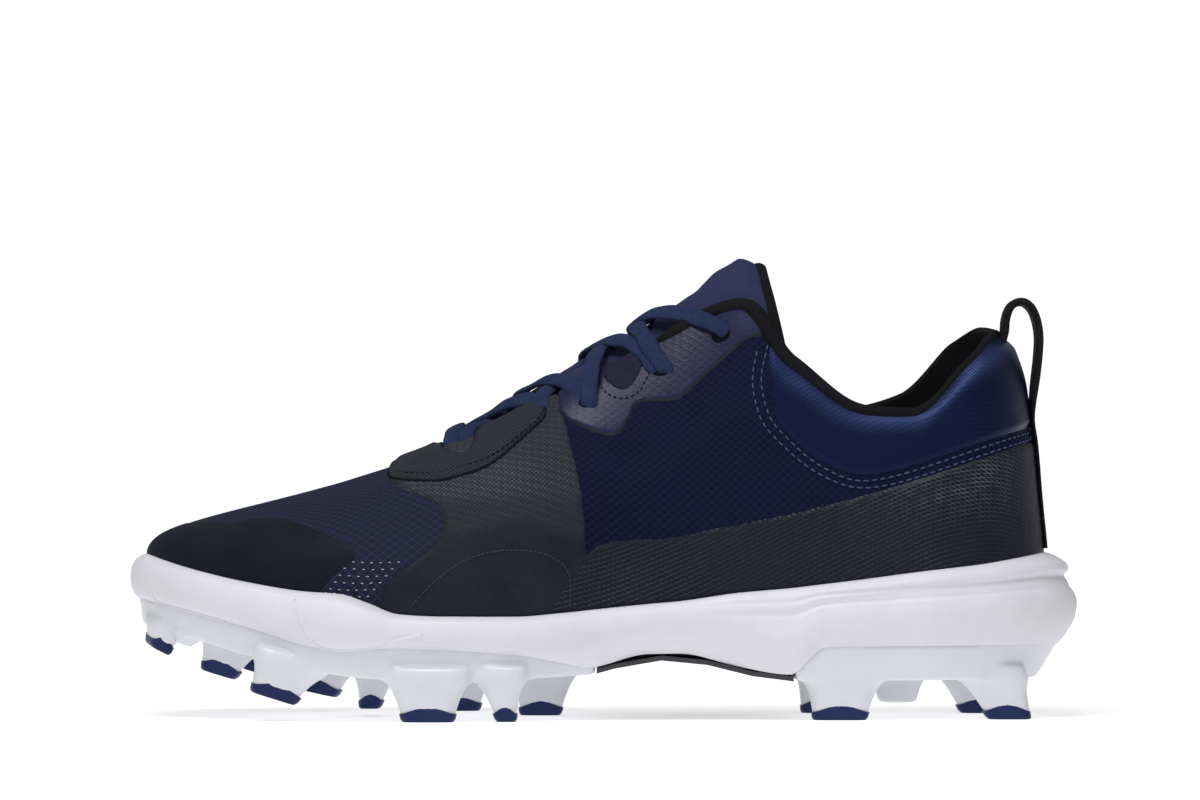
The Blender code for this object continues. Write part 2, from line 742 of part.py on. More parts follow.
def make_outsole(parts, cutters, materials):
    lateral = places_between(place_at(FOREFOOT_PLATE_END), 1.0)
    places = lateral + [mirror_place(u) for u in reversed(lateral[:-1])]
    forefoot = ring_solid("outsole_forefoot", plate_columns(places, full_thickness), False,
                          materials["white_plastic"], parts)
    lateral = places_between(0.0, place_at(HEEL_PLATE_END))
    places = list(reversed(lateral)) + [mirror_place(u) for u in lateral[1:]]
    heel = ring_solid("outsole_heel", plate_columns(places, full_thickness), False,
                      materials["white_plastic"], parts)
    for row in FOREFOOT_STUDS:
        make_stud(row, forefoot, parts, cutters, materials)
    for row in HEEL_STUDS:
        make_stud(row, heel, parts, cutters, materials)
    for row in FOREFOOT_NUBS:
        make_stud(row, forefoot, parts, cutters, materials, tipped=False)
    for row in HEEL_NUBS:
        make_stud(row, heel, parts, cutters, materials, tipped=False)


def make_insole(parts, materials):
    inset = -(UPPER_WALL + SOLE_FIT)
    columns = []
    for u in columns_round():
        bottom = offset_point(u, inset, lambda x: footbed_z(x) + SOLE_FIT)
        top = offset_point(u, inset, lambda x: footbed_z(x) + SOLE_FIT + INSOLE_THICKNESS)
        columns.append([bottom, top])
    ring_solid("insole", columns, True, materials["insole_cloth"], parts)


def make_upper(parts, materials):
    outer = []
    inner = []
    for u in columns_round():
        foot_outer = offset_point(u, 0, lambda x: footbed_z(x) + SOLE_FIT)
        foot_inner = offset_point(u, -UPPER_WALL, lambda x: footbed_z(x) + SOLE_FIT)
        outer.append([foot_outer] + [upper_point(u, v, 0) for v in upper_rows()])
        inner.append([foot_inner] + [upper_point(u, v, -UPPER_WALL) for v in upper_rows()])
    slab("upper", outer, inner, True, materials["navy_ripstop"], parts)


def side_cutter(name, outline, height, low_y, high_y, cutters):
    """A prism along Y with an outline seen from the side, its heights as shares of height."""
    count = len(outline)
    points = [Vector((x_at(share), y, z * height)) for y in (low_y, high_y) for share, z in outline]
    faces = [tuple(range(count)), tuple(range(2 * count - 1, count - 1, -1))]
    for i in range(count):
        after = (i + 1) % count
        faces.append((i, i + count, after + count, after))
    cutter = add_object(name, points, faces, None, cutters)
    hide_cutter(cutter)
    return cutter


def overlay(name, outline, height, thickness, material, parts, cutters):
    """A skin on the upper, cut to its outline between two forms off the upper's face."""
    first, last, low_row, high_row = SKIN_SPANS[name]
    rows = ([SKIN_START] + upper_rows()[1:])[low_row:high_row]
    places = lattice_between(first, last)
    outer = [[upper_point(u, v, GAP + thickness(u, v)) for v in rows] for u in places]
    inner = [[upper_point(u, v, GAP) for v in rows] for u in places]
    skin = slab(name, outer, inner, False, material, parts)
    low_y = 0.0 if name.endswith("medial") else -BALL_WIDTH
    high_y = 0.0 if name.endswith("lateral") else BALL_WIDTH
    cutter = side_cutter("outline_" + name, outline, height, low_y, high_y, cutters)
    boolean(skin, cutter, "INTERSECT")


def lattice_between(first, last):
    """The upper's own places from one place to another, over the heel if last is past 2."""
    step = 1.0 / SIDE_STEPS
    start = math.ceil(first / step - 1e-6)
    stop = math.floor(last / step + 1e-6)
    return [i * step for i in range(start, stop + 1)]


def pad_thickness(u, v):
    puff = math.sin(math.pi * max(0.0, (v - PAD_START) / (1 - PAD_START)))
    return PAD_EDGE + PAD_PUFF * puff


def film_thickness(u, v):
    return FILM_THICKNESS


def eyestay_thickness(u, v):
    return EYESTAY_THICKNESS


def rand_thickness(u, v):
    return RAND_THICKNESS


def make_overlays(parts, cutters, materials):
    front = (
        ("toe_cap", TOE_CAP_OUTLINE, film_thickness, "dark_film"),
        ("saddle_lateral", SADDLE_OUTLINE, film_thickness, "saddle_mesh"),
        ("saddle_medial", SADDLE_OUTLINE, film_thickness, "saddle_mesh"),
        ("eyestay_front", EYESTAY_OUTLINE, eyestay_thickness, "padded_mesh"),
        ("eyestay_film_lateral", FILM_OUTLINE, film_thickness, "violet_film"),
        ("eyestay_film_medial", FILM_OUTLINE, film_thickness, "violet_film"),
    )
    for name, outline, thickness, finish in front:
        overlay(name, outline, INSTEP_HEIGHT, thickness, materials[finish], parts, cutters)
    overlay("heel_rand", RAND_OUTLINE, HEEL_HEIGHT, rand_thickness, materials["textured_rubber"],
            parts, cutters)
    overlay("collar_pad", PAD_OUTLINE, HEEL_HEIGHT, pad_thickness, materials["satin"], parts, cutters)


def throat_edge(share, side):
    place = place_at(share)
    return place if side < 0 else mirror_place(place)


def make_tongue(parts, materials):
    under = -(UPPER_WALL + TONGUE_FIT)
    outer = []
    inner = []
    for row in TONGUE_ROWS:
        data = dict(zip(TONGUE_COLUMNS, row))
        lateral = throat_edge(data["share"], -1)
        medial = throat_edge(data["share"], 1)
        wing = data["wing"]
        wing_low = upper_point(lateral, wing, under)
        edge_low = upper_point(lateral, 1.0, under)
        edge_high = upper_point(medial, 1.0, under)
        wing_high = upper_point(medial, wing, under)
        chord = edge_high - edge_low
        lift = Vector((-data["lean"], 0, data["crest"])) * INSTEP_HEIGHT
        section = [wing_low, edge_low]
        for share_across in (0.2, 0.4, 0.6, 0.8):
            bow = 4 * share_across * (1 - share_across)
            section.append(edge_low + chord * share_across + lift * bow)
        section += [edge_high, wing_high]
        outer.append(section)
    for i, section in enumerate(outer):
        before = outer[max(0, i - 1)]
        after = outer[min(len(outer) - 1, i + 1)]
        shifted = []
        for j, point in enumerate(section):
            along = after[j] - before[j]
            left = section[max(0, j - 1)]
            right = section[min(len(section) - 1, j + 1)]
            down = along.cross(right - left).normalized()
            if down.z > 0:
                down = -down
            shifted.append(point + down * TONGUE_THICKNESS)
        inner.append(shifted)
    slab("tongue", outer, inner, False, materials["tongue_cloth"], parts)


LACE_SECTION = ((-1.0, 0.0), (-0.7, 1.0), (0.7, 1.0), (1.0, 0.0), (0.7, -1.0), (-0.7, -1.0))


def strap(name, route, normals, section, width, thickness, material, collection):
    """A flat strap swept along a route of points, its face turned along the normals."""
    rings = []
    for i, point in enumerate(route):
        along = (route[min(i + 1, len(route) - 1)] - route[max(i - 1, 0)]).normalized()
        side = along.cross(normals[i]).normalized()
        up = side.cross(along).normalized()
        rings.append([point + side * a * width / 2 + up * b * thickness / 2 for a, b in section])
    count = len(section)
    points = [point for ring in rings for point in ring]
    faces = [tuple(range(count)), tuple(range(len(points) - 1, len(points) - count - 1, -1))]
    for k in range(len(rings) - 1):
        for i in range(count):
            after = (i + 1) % count
            faces.append((k * count + i, (k + 1) * count + i, (k + 1) * count + after, k * count + after))
    return add_object(name, points, faces, material, collection)


def eyelet(row, side):
    """Where the lace meets the eyestay: its place on the upper and its height over it."""
    data = dict(zip(LACE_COLUMNS, row))
    place = throat_edge(data["share"], side)
    height = LACE_LAYERS[data["layer"]] + GAP + LACE_THICKNESS * (data["over"] + 0.5)
    return place, data["up"], height, data["arch"] * INSTEP_HEIGHT


def strand_route(start_row, end_row, start_side, lift):
    """A lace from the throat's edge at one row, across the tongue, to the next row's eyelet.

    A strand whose rows are the same runs from eyelet to eyelet.
    """
    start_place, start_up, start_height, start_arch = eyelet(start_row, start_side)
    end_place, end_up, end_height, end_arch = eyelet(end_row, -start_side)
    far = upper_point(end_place, 1.0, end_height)
    tail = [upper_point(end_place, end_up, end_height),
            upper_point(end_place, (1 + end_up) / 2, end_height), far]
    if start_row is end_row:
        near = upper_point(start_place, 1.0, start_height)
        head = [upper_point(start_place, start_up, start_height),
                upper_point(start_place, (1 + start_up) / 2, start_height), near]
    else:
        near = upper_point(start_place, 1.0, GAP) + Vector((0, -start_side, 0)) * THROAT_INSET
        head = [near]
    arch = max(start_arch, end_arch) / 2 + (start_arch + end_arch) / 4 + lift
    middle = []
    for k in range(1, LACE_STEPS):
        share = k / LACE_STEPS
        middle.append(near.lerp(far, share) + Vector((0, 0, 4 * share * (1 - share) * arch)))
    return head + middle + list(reversed(tail)), middle[LACE_STEPS // 2 - 1].z


def lace(name, route, material, collection):
    normals = [Vector((-LACE_LEAN, point.y / THROAT_ROUND, 1)) for point in route]
    return strap(name, route, normals, LACE_SECTION, LACE_WIDTH, LACE_THICKNESS, material, collection)


def make_laces(parts, cutters, materials):
    """A bar at the toe end of the throat, then crossings whose two strands join where they meet."""
    cloth = materials["lace_cloth"]
    first = LACE_ROWS[0]
    lace("lace_bar_front", strand_route(first, first, -1, 0.0)[0], cloth, parts)
    for k in range(len(LACE_ROWS) - 1):
        start, end = LACE_ROWS[k], LACE_ROWS[k + 1]
        above = strand_route(start, end, 1, 0.0)[1] - strand_route(start, end, -1, 0.0)[1]
        lift_first = max(0.0, LACE_THICKNESS / 2 - above)
        lift_second = max(0.0, above - LACE_THICKNESS / 2)
        cross = lace(f"lace_crossing_{k + 1}", strand_route(start, end, 1, lift_first)[0], cloth, parts)
        under = lace(f"lace_under_{k + 1}", strand_route(start, end, -1, lift_second)[0], None, cutters)
        hide_cutter(under)
        boolean(cross, under, "UNION")


def make_pull_loop(parts, materials):
    """Webbing that stands in a loop above the heel and runs down its back."""
    route = [Vector((x_at(share), 0, z * HEEL_HEIGHT)) for share, z in LOOP_ROUTE]
    for v in LOOP_DOWN:
        under = pad_thickness(0.0, v) if v > PAD_START else RAND_THICKNESS
        skin = under + 2 * GAP
        route.append(upper_point(0.0, v, skin + LOOP_THICKNESS / 2))
    normals = []
    for i, point in enumerate(route):
        along = route[min(i + 1, len(route) - 1)] - route[max(i - 1, 0)]
        normals.append(along.cross(Vector((0, 1, 0))))
    section = ((-1, -1), (-1, 1), (1, 1), (1, -1))
    strap("pull_loop", route, normals, section, LOOP_WIDTH, LOOP_THICKNESS,
          materials["black_webbing"], parts)


def build():
    clear_scene()
    parts = make_collection("baseball_cleat")
    cutters = make_collection("cutters")
    materials = {name: make_material(name) for name in COLOURS}
    make_upper(parts, materials)
    make_midsole(parts, materials)
    make_arch_plate(parts, materials)
    make_outsole(parts, cutters, materials)
    make_insole(parts, materials)
    make_tongue(parts, materials)
    make_overlays(parts, cutters, materials)
    make_laces(parts, cutters, materials)
    make_pull_loop(parts, materials)


build()
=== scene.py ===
"""Looks of a left baseball cleat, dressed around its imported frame.

Metres, +Z up, toe to -X, heel to +X, lateral side to -Y. Tables in
millimetres say so. The upper's face is worked out from the same last as the
frame, so every panel, seam and lace lies on it.
"""

import math

import bmesh
import bpy
import numpy as np
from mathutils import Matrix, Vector


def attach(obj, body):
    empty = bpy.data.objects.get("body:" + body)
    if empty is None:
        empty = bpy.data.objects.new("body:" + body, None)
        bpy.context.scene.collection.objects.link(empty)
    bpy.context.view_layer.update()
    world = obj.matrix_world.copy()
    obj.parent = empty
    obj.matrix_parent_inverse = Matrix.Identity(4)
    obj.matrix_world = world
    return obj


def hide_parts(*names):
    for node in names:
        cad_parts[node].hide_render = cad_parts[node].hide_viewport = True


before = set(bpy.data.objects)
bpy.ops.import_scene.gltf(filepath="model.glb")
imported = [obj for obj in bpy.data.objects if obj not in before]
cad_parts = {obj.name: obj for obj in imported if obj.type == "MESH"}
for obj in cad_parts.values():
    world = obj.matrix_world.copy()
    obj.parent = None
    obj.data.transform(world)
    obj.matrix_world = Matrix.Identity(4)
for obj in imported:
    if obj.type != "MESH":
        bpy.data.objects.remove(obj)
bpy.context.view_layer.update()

MM = 0.001

# Camera at the photograph's viewing angle
CAMERA_PLACE = Vector((-0.0005, -1.6, 0.066))
CAMERA_AIM = Vector((-0.0005, 0.0, 0.100))
CAMERA_LENS = 151.5

# Last and upper
LAST_LENGTH = 283 * MM
LAST_HEEL_X = 0.4912 * LAST_LENGTH
BALL_WIDTH = 97 * MM
INSTEP_HEIGHT = 131 * MM
HEEL_HEIGHT = 121 * MM
UPPER_WALL = 2.2 * MM
SIDEWALL_HEIGHT = 52 * MM
STUD_HEIGHT = 12.5 * MM
PLATE_THICKNESS = 10 * MM
SOLE_FIT = 0.3 * MM

# Sole flares
TOE_FLARE = 5.6 * MM
SIDE_FLARE = 5.4 * MM
HEEL_FLARE = 11.4 * MM
OUTRIGGER_FLARE = 3.0 * MM
WAIST_TUCK = 6.5 * MM
PLATE_TUCK = 1.3 * MM
HEEL_PLATE_TUCK = 7.5 * MM
PLATE_BURIED = 1.1 * MM
TIP_HEIGHT = 2.4 * MM
TIP_PEAK = 2.2 * MM
STUD_SIDES = 28
STUD_SQUARE = 3.4

# About how many millimetres one unit of the upper's u and v covers
PANEL_LENGTH = 340
PANEL_HEIGHT = 62

# Panels, tongue and laces
FILM_THICKNESS = 0.9 * MM
RAND_THICKNESS = 1.1 * MM
EYESTAY_THICKNESS = 2.2 * MM
PAD_EDGE = 1.0 * MM
PAD_PUFF = 2.4 * MM
TONGUE_FIT = 1.2 * MM
TONGUE_THICKNESS = 4.5 * MM
TONGUE_PUFF = 3.7 * MM
TONGUE_STEPS = 44
TONGUE_BOUND_ROWS = 34
LACE_WIDTH = 5.5 * MM
LACE_THICKNESS = 1.9 * MM
LOOP_WIDTH = 13 * MM
LOOP_THICKNESS = 2.6 * MM
TAPE_THICKNESS = 1.3 * MM

# Rows of the last's tables run from the heel (share 0) to the toe (share 1)
OUTLINE_COLUMNS = ("share", "half", "centre")
OUTLINE_ROWS = (
    (0.00, 0.000, 0.000),
    (0.03, 0.222, 0.000),
    (0.08, 0.314, 0.000),
    (0.15, 0.351, 0.000),
    (0.25, 0.351, -0.005),
    (0.36, 0.345, -0.010),
    (0.46, 0.366, -0.012),
    (0.56, 0.433, -0.008),
    (0.64, 0.479, 0.000),
    (0.71, 0.500, 0.008),
    (0.79, 0.485, 0.020),
    (0.87, 0.428, 0.034),
    (0.93, 0.335, 0.046),
    (0.97, 0.222, 0.056),
    (1.00, 0.000, 0.060),
)
EDGE_COLUMNS = ("share", "edge_x", "y_lateral", "y_medial", "z_lateral", "z_medial")
EDGE_ROWS = (
    (0.00, 0.051, 0.000, 0.000, 1.008, 1.008),
    (0.03, 0.065, 0.134, 0.134, 0.985, 1.018),
    (0.08, 0.093, 0.232, 0.232, 0.913, 0.979),
    (0.15, 0.150, 0.289, 0.289, 0.798, 0.845),
    (0.22, 0.215, 0.299, 0.299, 0.808, 0.808),
    (0.29, 0.282, 0.273, 0.273, 0.866, 0.840),
    (0.34, 0.336, 0.211, 0.211, 1.000, 0.970),
    (0.385, 0.380, 0.175, 0.165, 0.973, 0.958),
    (0.44, 0.435, 0.175, 0.160, 0.897, 0.924),
    (0.50, 0.493, 0.175, 0.160, 0.828, 0.878),
    (0.57, 0.563, 0.170, 0.155, 0.748, 0.786),
    (0.64, 0.623, 0.155, 0.145, 0.683, 0.702),
    (0.71, 0.657, 0.124, 0.113, 0.660, 0.668),
    (0.80, 0.674, 0.077, 0.072, 0.647, 0.649),
    (0.90, 0.681, 0.036, 0.036, 0.641, 0.641),
    (1.00, 0.683, 0.000, 0.000, 0.639, 0.639),
)
ANKLE_BACK = 0.20
ANKLE_FRONT = 0.30
RIB_COLUMNS = ("share", "belly", "rise", "reach", "drop")
RIB_ROWS = (
    (0.00, -0.013, 0.22, 0.10, 0.16),
    (0.08, 0.005, 0.28, 0.25, 0.18),
    (0.15, 0.015, 0.32, 0.50, 0.24),
    (0.29, 0.018, 0.36, 0.50, 0.28),
    (0.34, 0.020, 0.40, 0.50, 0.25),
    (0.44, 0.020, 0.45, 0.50, 0.17),
    (0.50, 0.020, 0.48, 0.55, 0.13),
    (0.57, 0.018, 0.50, 0.60, 0.12),
    (0.64, 0.015, 0.50, 0.60, 0.10),
    (0.71, 0.010, 0.50, 0.55, 0.14),
    (0.80, 0.005, 0.47, 0.50, 0.27),
    (0.90, 0.000, 0.42, 0.50, 0.43),
    (1.00, -0.010, 0.39, 0.505, 0.59),
)
SOLE_COLUMNS = ("share", "feather", "footbed", "underside", "plate")
SOLE_ROWS = (
    (0.000, 1.000, 0.790, 1.00, 1.04),
    (0.032, 0.970, 0.785, 1.00, 1.04),
    (0.077, 0.930, 0.765, 1.00, 1.04),
    (0.144, 0.887, 0.740, 0.99, 1.04),
    (0.211, 0.838, 0.705, 0.98, 1.04),
    (0.246, 0.815, 0.685, 0.98, 1.02),
    (0.285, 0.790, 0.660, 0.97, 0.18),
    (0.342, 0.762, 0.630, 1.16, 0.18),
    (0.405, 0.713, 0.600, 1.48, 0.18),
    (0.440, 0.696, 0.582, 1.47, 0.18),
    (0.503, 0.662, 0.556, 1.14, 0.18),
    (0.535, 0.644, 0.545, 1.09, 0.40),
    (0.585, 0.623, 0.530, 1.04, 0.72),
    (0.665, 0.625, 0.522, 1.01, 0.92),
    (0.711, 0.638, 0.525, 1.03, 0.95),
    (0.746, 0.706, 0.545, 1.07, 0.88),
    (0.775, 0.756, 0.560, 1.14, 0.76),
    (0.813, 0.771, 0.585, 1.28, 0.72),
    (0.880, 0.827, 0.650, 1.62, 0.86),
    (0.947, 0.908, 0.725, 2.05, 0.80),
    (1.000, 0.990, 0.780, 2.30, 0.80),
)
SIDE_COLUMNS = ("height", "front", "rear")
SIDE_ROWS = (
    (0.00, 0.50, 0.48),
    (0.12, 0.80, 0.72),
    (0.30, 0.95, 0.95),
    (0.45, 1.00, 1.00),
    (0.60, 0.98, 0.86),
    (0.73, 0.90, 0.68),
    (0.80, 0.82, 0.78),
    (0.87, 0.70, 0.72),
    (0.96, 0.40, 0.40),
)
REAR_SIDE_START = 0.42
REAR_SIDE_FULL = 0.17
FOREFOOT_PLATE_END = 0.495
HEEL_PLATE_END = 0.28
OUTRIGGER_PLACE = 0.76
OUTRIGGER_HALF = 0.07

STUD_COLUMNS = ("name", "share", "across", "floor", "length", "width", "turn", "tilt", "lean", "spread")
FOREFOOT_STUDS = (
    ("toe_lateral", 0.985, -0.10, 1.72, 0.50, 0.95, 20, 27, 0.15, 0.25),
    ("toe_centre", 0.920, 0.03, 1.05, 0.90, 1.10, 0, 17, 0.30, 0.50),
    ("toe_medial", 0.895, 0.32, 1.10, 0.90, 0.70, -20, 17, 0.25, 0.40),
    ("front_lateral", 0.850, -0.41, 0.57, 1.10, 0.70, 12, 18, 0.40, 0.55),
    ("front_medial", 0.815, 0.41, 0.45, 0.95, 0.70, -12, 12, 0.25, 0.50),
    ("mid_centre", 0.750, 0.00, 0.20, 0.55, 1.05, 0, 0, 0.15, 0.50),
    ("ball_lateral", 0.680, -0.46, 0.00, 1.30, 0.80, 0, 0, 0.00, 0.70),
    ("ball_medial", 0.655, 0.45, 0.00, 1.10, 0.80, 0, 0, 0.00, 0.65),
    ("side_lateral", 0.595, -0.44, 0.00, 0.50, 0.65, 0, 0, -0.15, 0.70),
    ("rear_centre", 0.560, 0.08, 0.00, 1.05, 0.70, 0, 0, 0.10, 0.55),
)
HEEL_STUDS = (
    ("heel_front_lateral", 0.230, -0.30, 0.00, 1.35, 0.70, 0, 0, 0.10, 0.55),
    ("heel_front_medial", 0.245, 0.27, 0.00, 0.90, 0.70, 0, 0, 0.10, 0.40),
    ("heel_rear_lateral", 0.042, -0.23, 0.00, 1.10, 0.80, 0, 0, -0.40, 0.55),
    ("heel_rear_medial", 0.060, 0.27, 0.00, 1.10, 0.80, 0, 0, -0.30, 0.55),
)
FOREFOOT_NUBS = (("toe_nub", 0.955, -0.20, 1.85, 0.40, 0.55, 20, 20, 0.10, 0.25),)
HEEL_NUBS = (("heel_nub", 0.160, 0.04, 0.35, 0.95, 1.60, 0, 0, 0.00, 0.40),)

TONGUE_COLUMNS = ("share", "crest", "wing", "lean")
TONGUE_ROWS = (
    (0.300, 0.220, 0.990, 0.050),
    (0.318, 0.165, 0.985, 0.025),
    (0.335, 0.130, 0.980, 0.020),
    (0.350, 0.115, 0.970, 0.015),
    (0.368, 0.100, 0.950, 0.010),
    (0.395, 0.055, 0.930, 0.000),
    (0.440, 0.030, 0.900, 0.000),
    (0.500, 0.015, 0.880, 0.000),
    (0.570, 0.010, 0.880, 0.000),
    (0.640, 0.005, 0.880, 0.000),
    (0.700, -0.005, 0.880, 0.000),
    (0.750, -0.025, 0.850, 0.030),
    (0.790, -0.055, 0.850, 0.075),
)

# Outlines of the panels as seen from the side, x and z in millimetres
TOE_FILM_OUTLINE = (
    (-170, 20), (-170, 60), (-135, 61), (-125, 61.5), (-116, 61.3), (-108, 62.8), (-100, 62.6), (-92, 60.5),
    (-84, 57.2), (-76.5, 53.6), (-76, 49.5), (-82, 45), (-86, 40), (-88, 34), (-88, 20),
)
SADDLE_OUTLINE = (
    (-66, 74), (-59.5, 71.2), (-52.5, 68.2), (-48.8, 63.6), (-49.4, 57), (-55, 51), (-63, 44.5),
    (-67.5, 38.5), (-67.5, 20), (-4.5, 20), (-4.5, 47), (-5, 52), (-6, 65), (-7.4, 75), (-10.6, 88),
    (-13.8, 102), (-14.3, 112), (-64, 112), (-67, 80),
)
LOOP_PANEL_OUTLINE = (
    (-66, 74.6), (-66.8, 78), (-64.6, 81.2), (-62, 83.4), (-57.5, 85.4), (-53.6, 86.8), (-50.6, 86.6),
    (-48.6, 84.0), (-45.2, 82.4), (-42, 82.8), (-40.3, 85), (-39.4, 89), (-37.8, 92), (-31, 94.4),
    (-22.3, 98.4), (-18.6, 98.6), (-16.8, 96.4), (-17.6, 93), (-22.3, 88.6), (-27.3, 84), (-32, 80),
    (-37, 77.2), (-44.2, 74.8), (-52, 73.2), (-59.6, 73.6),
)
STAY_FILM_OUTLINE = (
    (-13.4, 101.5), (-12, 94.5), (-8, 91.8), (-3, 89.8), (2.5, 88.4), (6, 89.6), (9, 94),
    (12, 98.6), (22.5, 99.4), (26.5, 101.6), (30, 105), (36, 110.5), (45, 118.5), (51, 123),
    (46, 152), (-13.4, 152),
)
RAND_OUTLINE = (
    (-3.8, 20), (-3.8, 51.5), (21.4, 56.3), (51, 62), (65, 65.1), (89, 71.6),
    (119, 81), (136, 86.3), (170, 88), (170, 20),
)
PAD_OUTLINE = (
    (52.6, 140), (52.4, 112), (52.6, 105), (53.6, 96.5), (57.5, 89.6), (65, 82.8), (73.6, 78.1),
    (81, 76.4), (92, 78), (108, 83), (125, 88.8), (140, 93), (170, 96), (170, 170), (52.6, 170),
)

# Soft troughs and ridges of the worn cloth, as seen from the side: x, z,
# half length and half width in millimetres, turn in degrees, height
CREASES = (
    (-58, 66, 16, 3.2, -52, -0.30 * MM),
    (-52, 71, 14, 2.6, -48, 0.22 * MM),
    (-70, 63, 15, 3.6, -35, -0.22 * MM),
    (-30, 62, 17, 3.4, -62, -0.25 * MM),
    (-22, 60, 15, 3.0, -66, 0.20 * MM),
    (12, 84, 17, 4.0, 24, -0.26 * MM),
    (30, 92, 15, 4.0, 38, -0.30 * MM),
    (24, 74, 18, 5.0, 14, 0.24 * MM),
    (40, 82, 13, 3.6, 52, -0.24 * MM),
    (60, 72, 15, 4.2, 12, -0.22 * MM),
)

# Fullness of the stuffed heel behind the last: height, middle and half height,
# and where it starts and is full along the shoe; most of it fades below the collar
HEEL_FULLNESS = (4.3 * MM, 95, 25, 102, 131)
HEEL_FADE = (115, 124)

# Punched eyelets of the rear rows: share along the last and how far up the ribs
EYELETS = ((0.510, 0.79), (0.428, 0.80), (0.362, 0.85))
THROAT_ROUND = 15 * MM
THROAT_TURN = 7 * MM
LACE_LEAN = 0.45

# Laces from the toe end, in millimetres: name, the solid they stand for, and the
# route of each strand from the near eyelet over the tongue to the far one
LACES = (
    ("lace_bar", "lace_bar_front", (
        (-45.5, -16.2, 81.5), (-47.2, -14.6, 86.0), (-46.7, -8.5, 89.8), (-45.8, 0, 91.4), (-46.2, 8, 90.4),
        (-46.6, 13.6, 87.4), (-45.2, 16.5, 82.5))),
    ("lace_under_1", None, (
        (-40.6, -18.0, 83.6), (-42.4, -16.4, 88.0), (-41.0, -10.5, 91.0), (-36, -3, 92.8), (-31, 4, 97.0),
        (-27.5, 11, 100.2), (-26, 17.8, 99.0), (-26, 20.5, 94.5))),
    ("lace_over_1", "lace_crossing_1", (
        (-17.2, -22.4, 93.0), (-18.6, -20.6, 97.6), (-21.8, -16.6, 99.6), (-26, -12, 99.6), (-31, -6, 98.0),
        (-35.5, 0, 95.4), (-40, 7, 93.2), (-43, 13.5, 90.6), (-42.4, 17.6, 86))),
    ("lace_under_2", None, (
        (-18.4, -21.6, 94.0), (-19.0, -18.6, 98.4), (-18, -12.5, 101.8), (-14, -5, 105.0), (-10, 3, 108.6),
        (-6.5, 11, 112.0), (-4.6, 18.4, 111.0), (-4, 23.2, 105.2))),
    ("lace_over_2", "lace_crossing_2", (
        (-4.6, -24.2, 95.0), (-5.8, -23.0, 100.2), (-8.6, -18.6, 103.8), (-12.5, -12, 105.8),
        (-17.5, -3, 106.3), (-22, 5, 104.4), (-25.2, 12, 102.8), (-26.6, 17.6, 99.8), (-26, 20.6, 95))),
    ("lace_under_3", None, (
        (-3.9, -23.6, 94.2), (-3.9, -26.2, 98.8), (-3.9, -24.0, 104.2), (-3.3, -20.0, 109.2),
        (-2.2, -14, 113.2), (-0.3, -6, 116.0), (4, 3, 118.2), (10, 11, 120.6), (15, 17.8, 118.4),
        (18, 22.2, 113.6), (19, 21.5, 109.0))),
    ("lace_over_3", "lace_crossing_3", (
        (17.6, -22.8, 106.4), (16.0, -22.6, 110.2), (13.6, -20.2, 114.0), (10.0, -15.8, 117.4),
        (4.6, -8, 118.8), (0.6, 0, 118.4), (-2.6, 8, 117.0), (-4.8, 14.6, 114.8), (-5, 19.4, 110.2),
        (-4, 22.8, 104.8))),
    ("lace_under_4", None, (
        (20.4, -21.4, 105.4), (19.8, -24.0, 109.4), (16.4, -22.0, 114.0), (13.4, -18.2, 119.2),
        (11.2, -10.6, 122.8), (12.6, -3, 124.2), (17, 5, 126.4), (22, 11, 127.8), (28, 16.5, 128.2),
        (34, 21, 124.8), (38, 23.2, 119.8), (38.5, 21.4, 115.0))),
    ("lace_over_4", "lace_crossing_4", (
        (40.4, -20.4, 118.0), (38.8, -22.6, 121.0), (33, -20.8, 124.2), (26, -16.8, 126.6), (18.4, -10, 127.4),
        (13.2, -2, 126.2), (10.6, 6, 124.0), (10.8, 13, 122.2), (12.4, 18.4, 119.4), (16.2, 22.4, 114.8),
        (19, 21.6, 110.2))),
)

# Middle of the pull loop's webbing above the heel, x and z in millimetres, then
# how far up the heel's rib it lies below that
LOOP_ROUTE = (
    (123.8, 110.0), (126.2, 116.6), (127.6, 121.6), (128.0, 125.6), (129.6, 129.6), (132.9, 131.1),
    (135.8, 129.4), (137.6, 125.6), (138.5, 120.4), (138.3, 114.6), (137.7, 109.0), (137.0, 103.4),
    (136.5, 98.6),
)
LOOP_DOWN = (0.54, 0.47, 0.40, 0.30, 0.20, 0.10, 0.02)


# Curves and shape functions

def mix(start, end, share):
    return start + (end - start) * share


def ease(low, high, value):
    share = np.clip((value - low) / (high - low), 0.0, 1.0)
    return share * share * (3 - 2 * share)


def make_curve(keys, values):
    """Smooth curve through a table's column that never overshoots its rows."""
    keys = np.array(keys, float)
    values = np.array(values, float)
    chords = np.diff(values) / np.diff(keys)
    slopes = np.concatenate((chords[:1], np.zeros(len(keys) - 2), chords[-1:]))
    before, after = chords[:-1], chords[1:]
    same = before * after > 0
    slopes[1:-1][same] = 2 * before[same] * after[same] / (before[same] + after[same])

    def curve(at):
        at = np.clip(at, keys[0], keys[-1])
        i = np.clip(np.searchsorted(keys, at, side="right") - 1, 0, len(keys) - 2)
        step = keys[i + 1] - keys[i]
        t = (at - keys[i]) / step
        start = values[i] * (1 + 2 * t) * (1 - t) ** 2 + slopes[i] * step * t * (1 - t) ** 2
        end = values[i + 1] * (3 - 2 * t) * t * t - slopes[i + 1] * step * (1 - t) * t * t
        return start + end

    return curve


def angle_of(share):
    return np.arccos(1 - 2 * np.clip(share, 0.0, 1.0))


def read_table(columns, rows, by_angle=True):
    keys = [float(angle_of(row[0])) if by_angle else row[0] for row in rows]
    return {name: make_curve(keys, [row[i] for row in rows])
            for i, name in enumerate(columns) if i > 0}


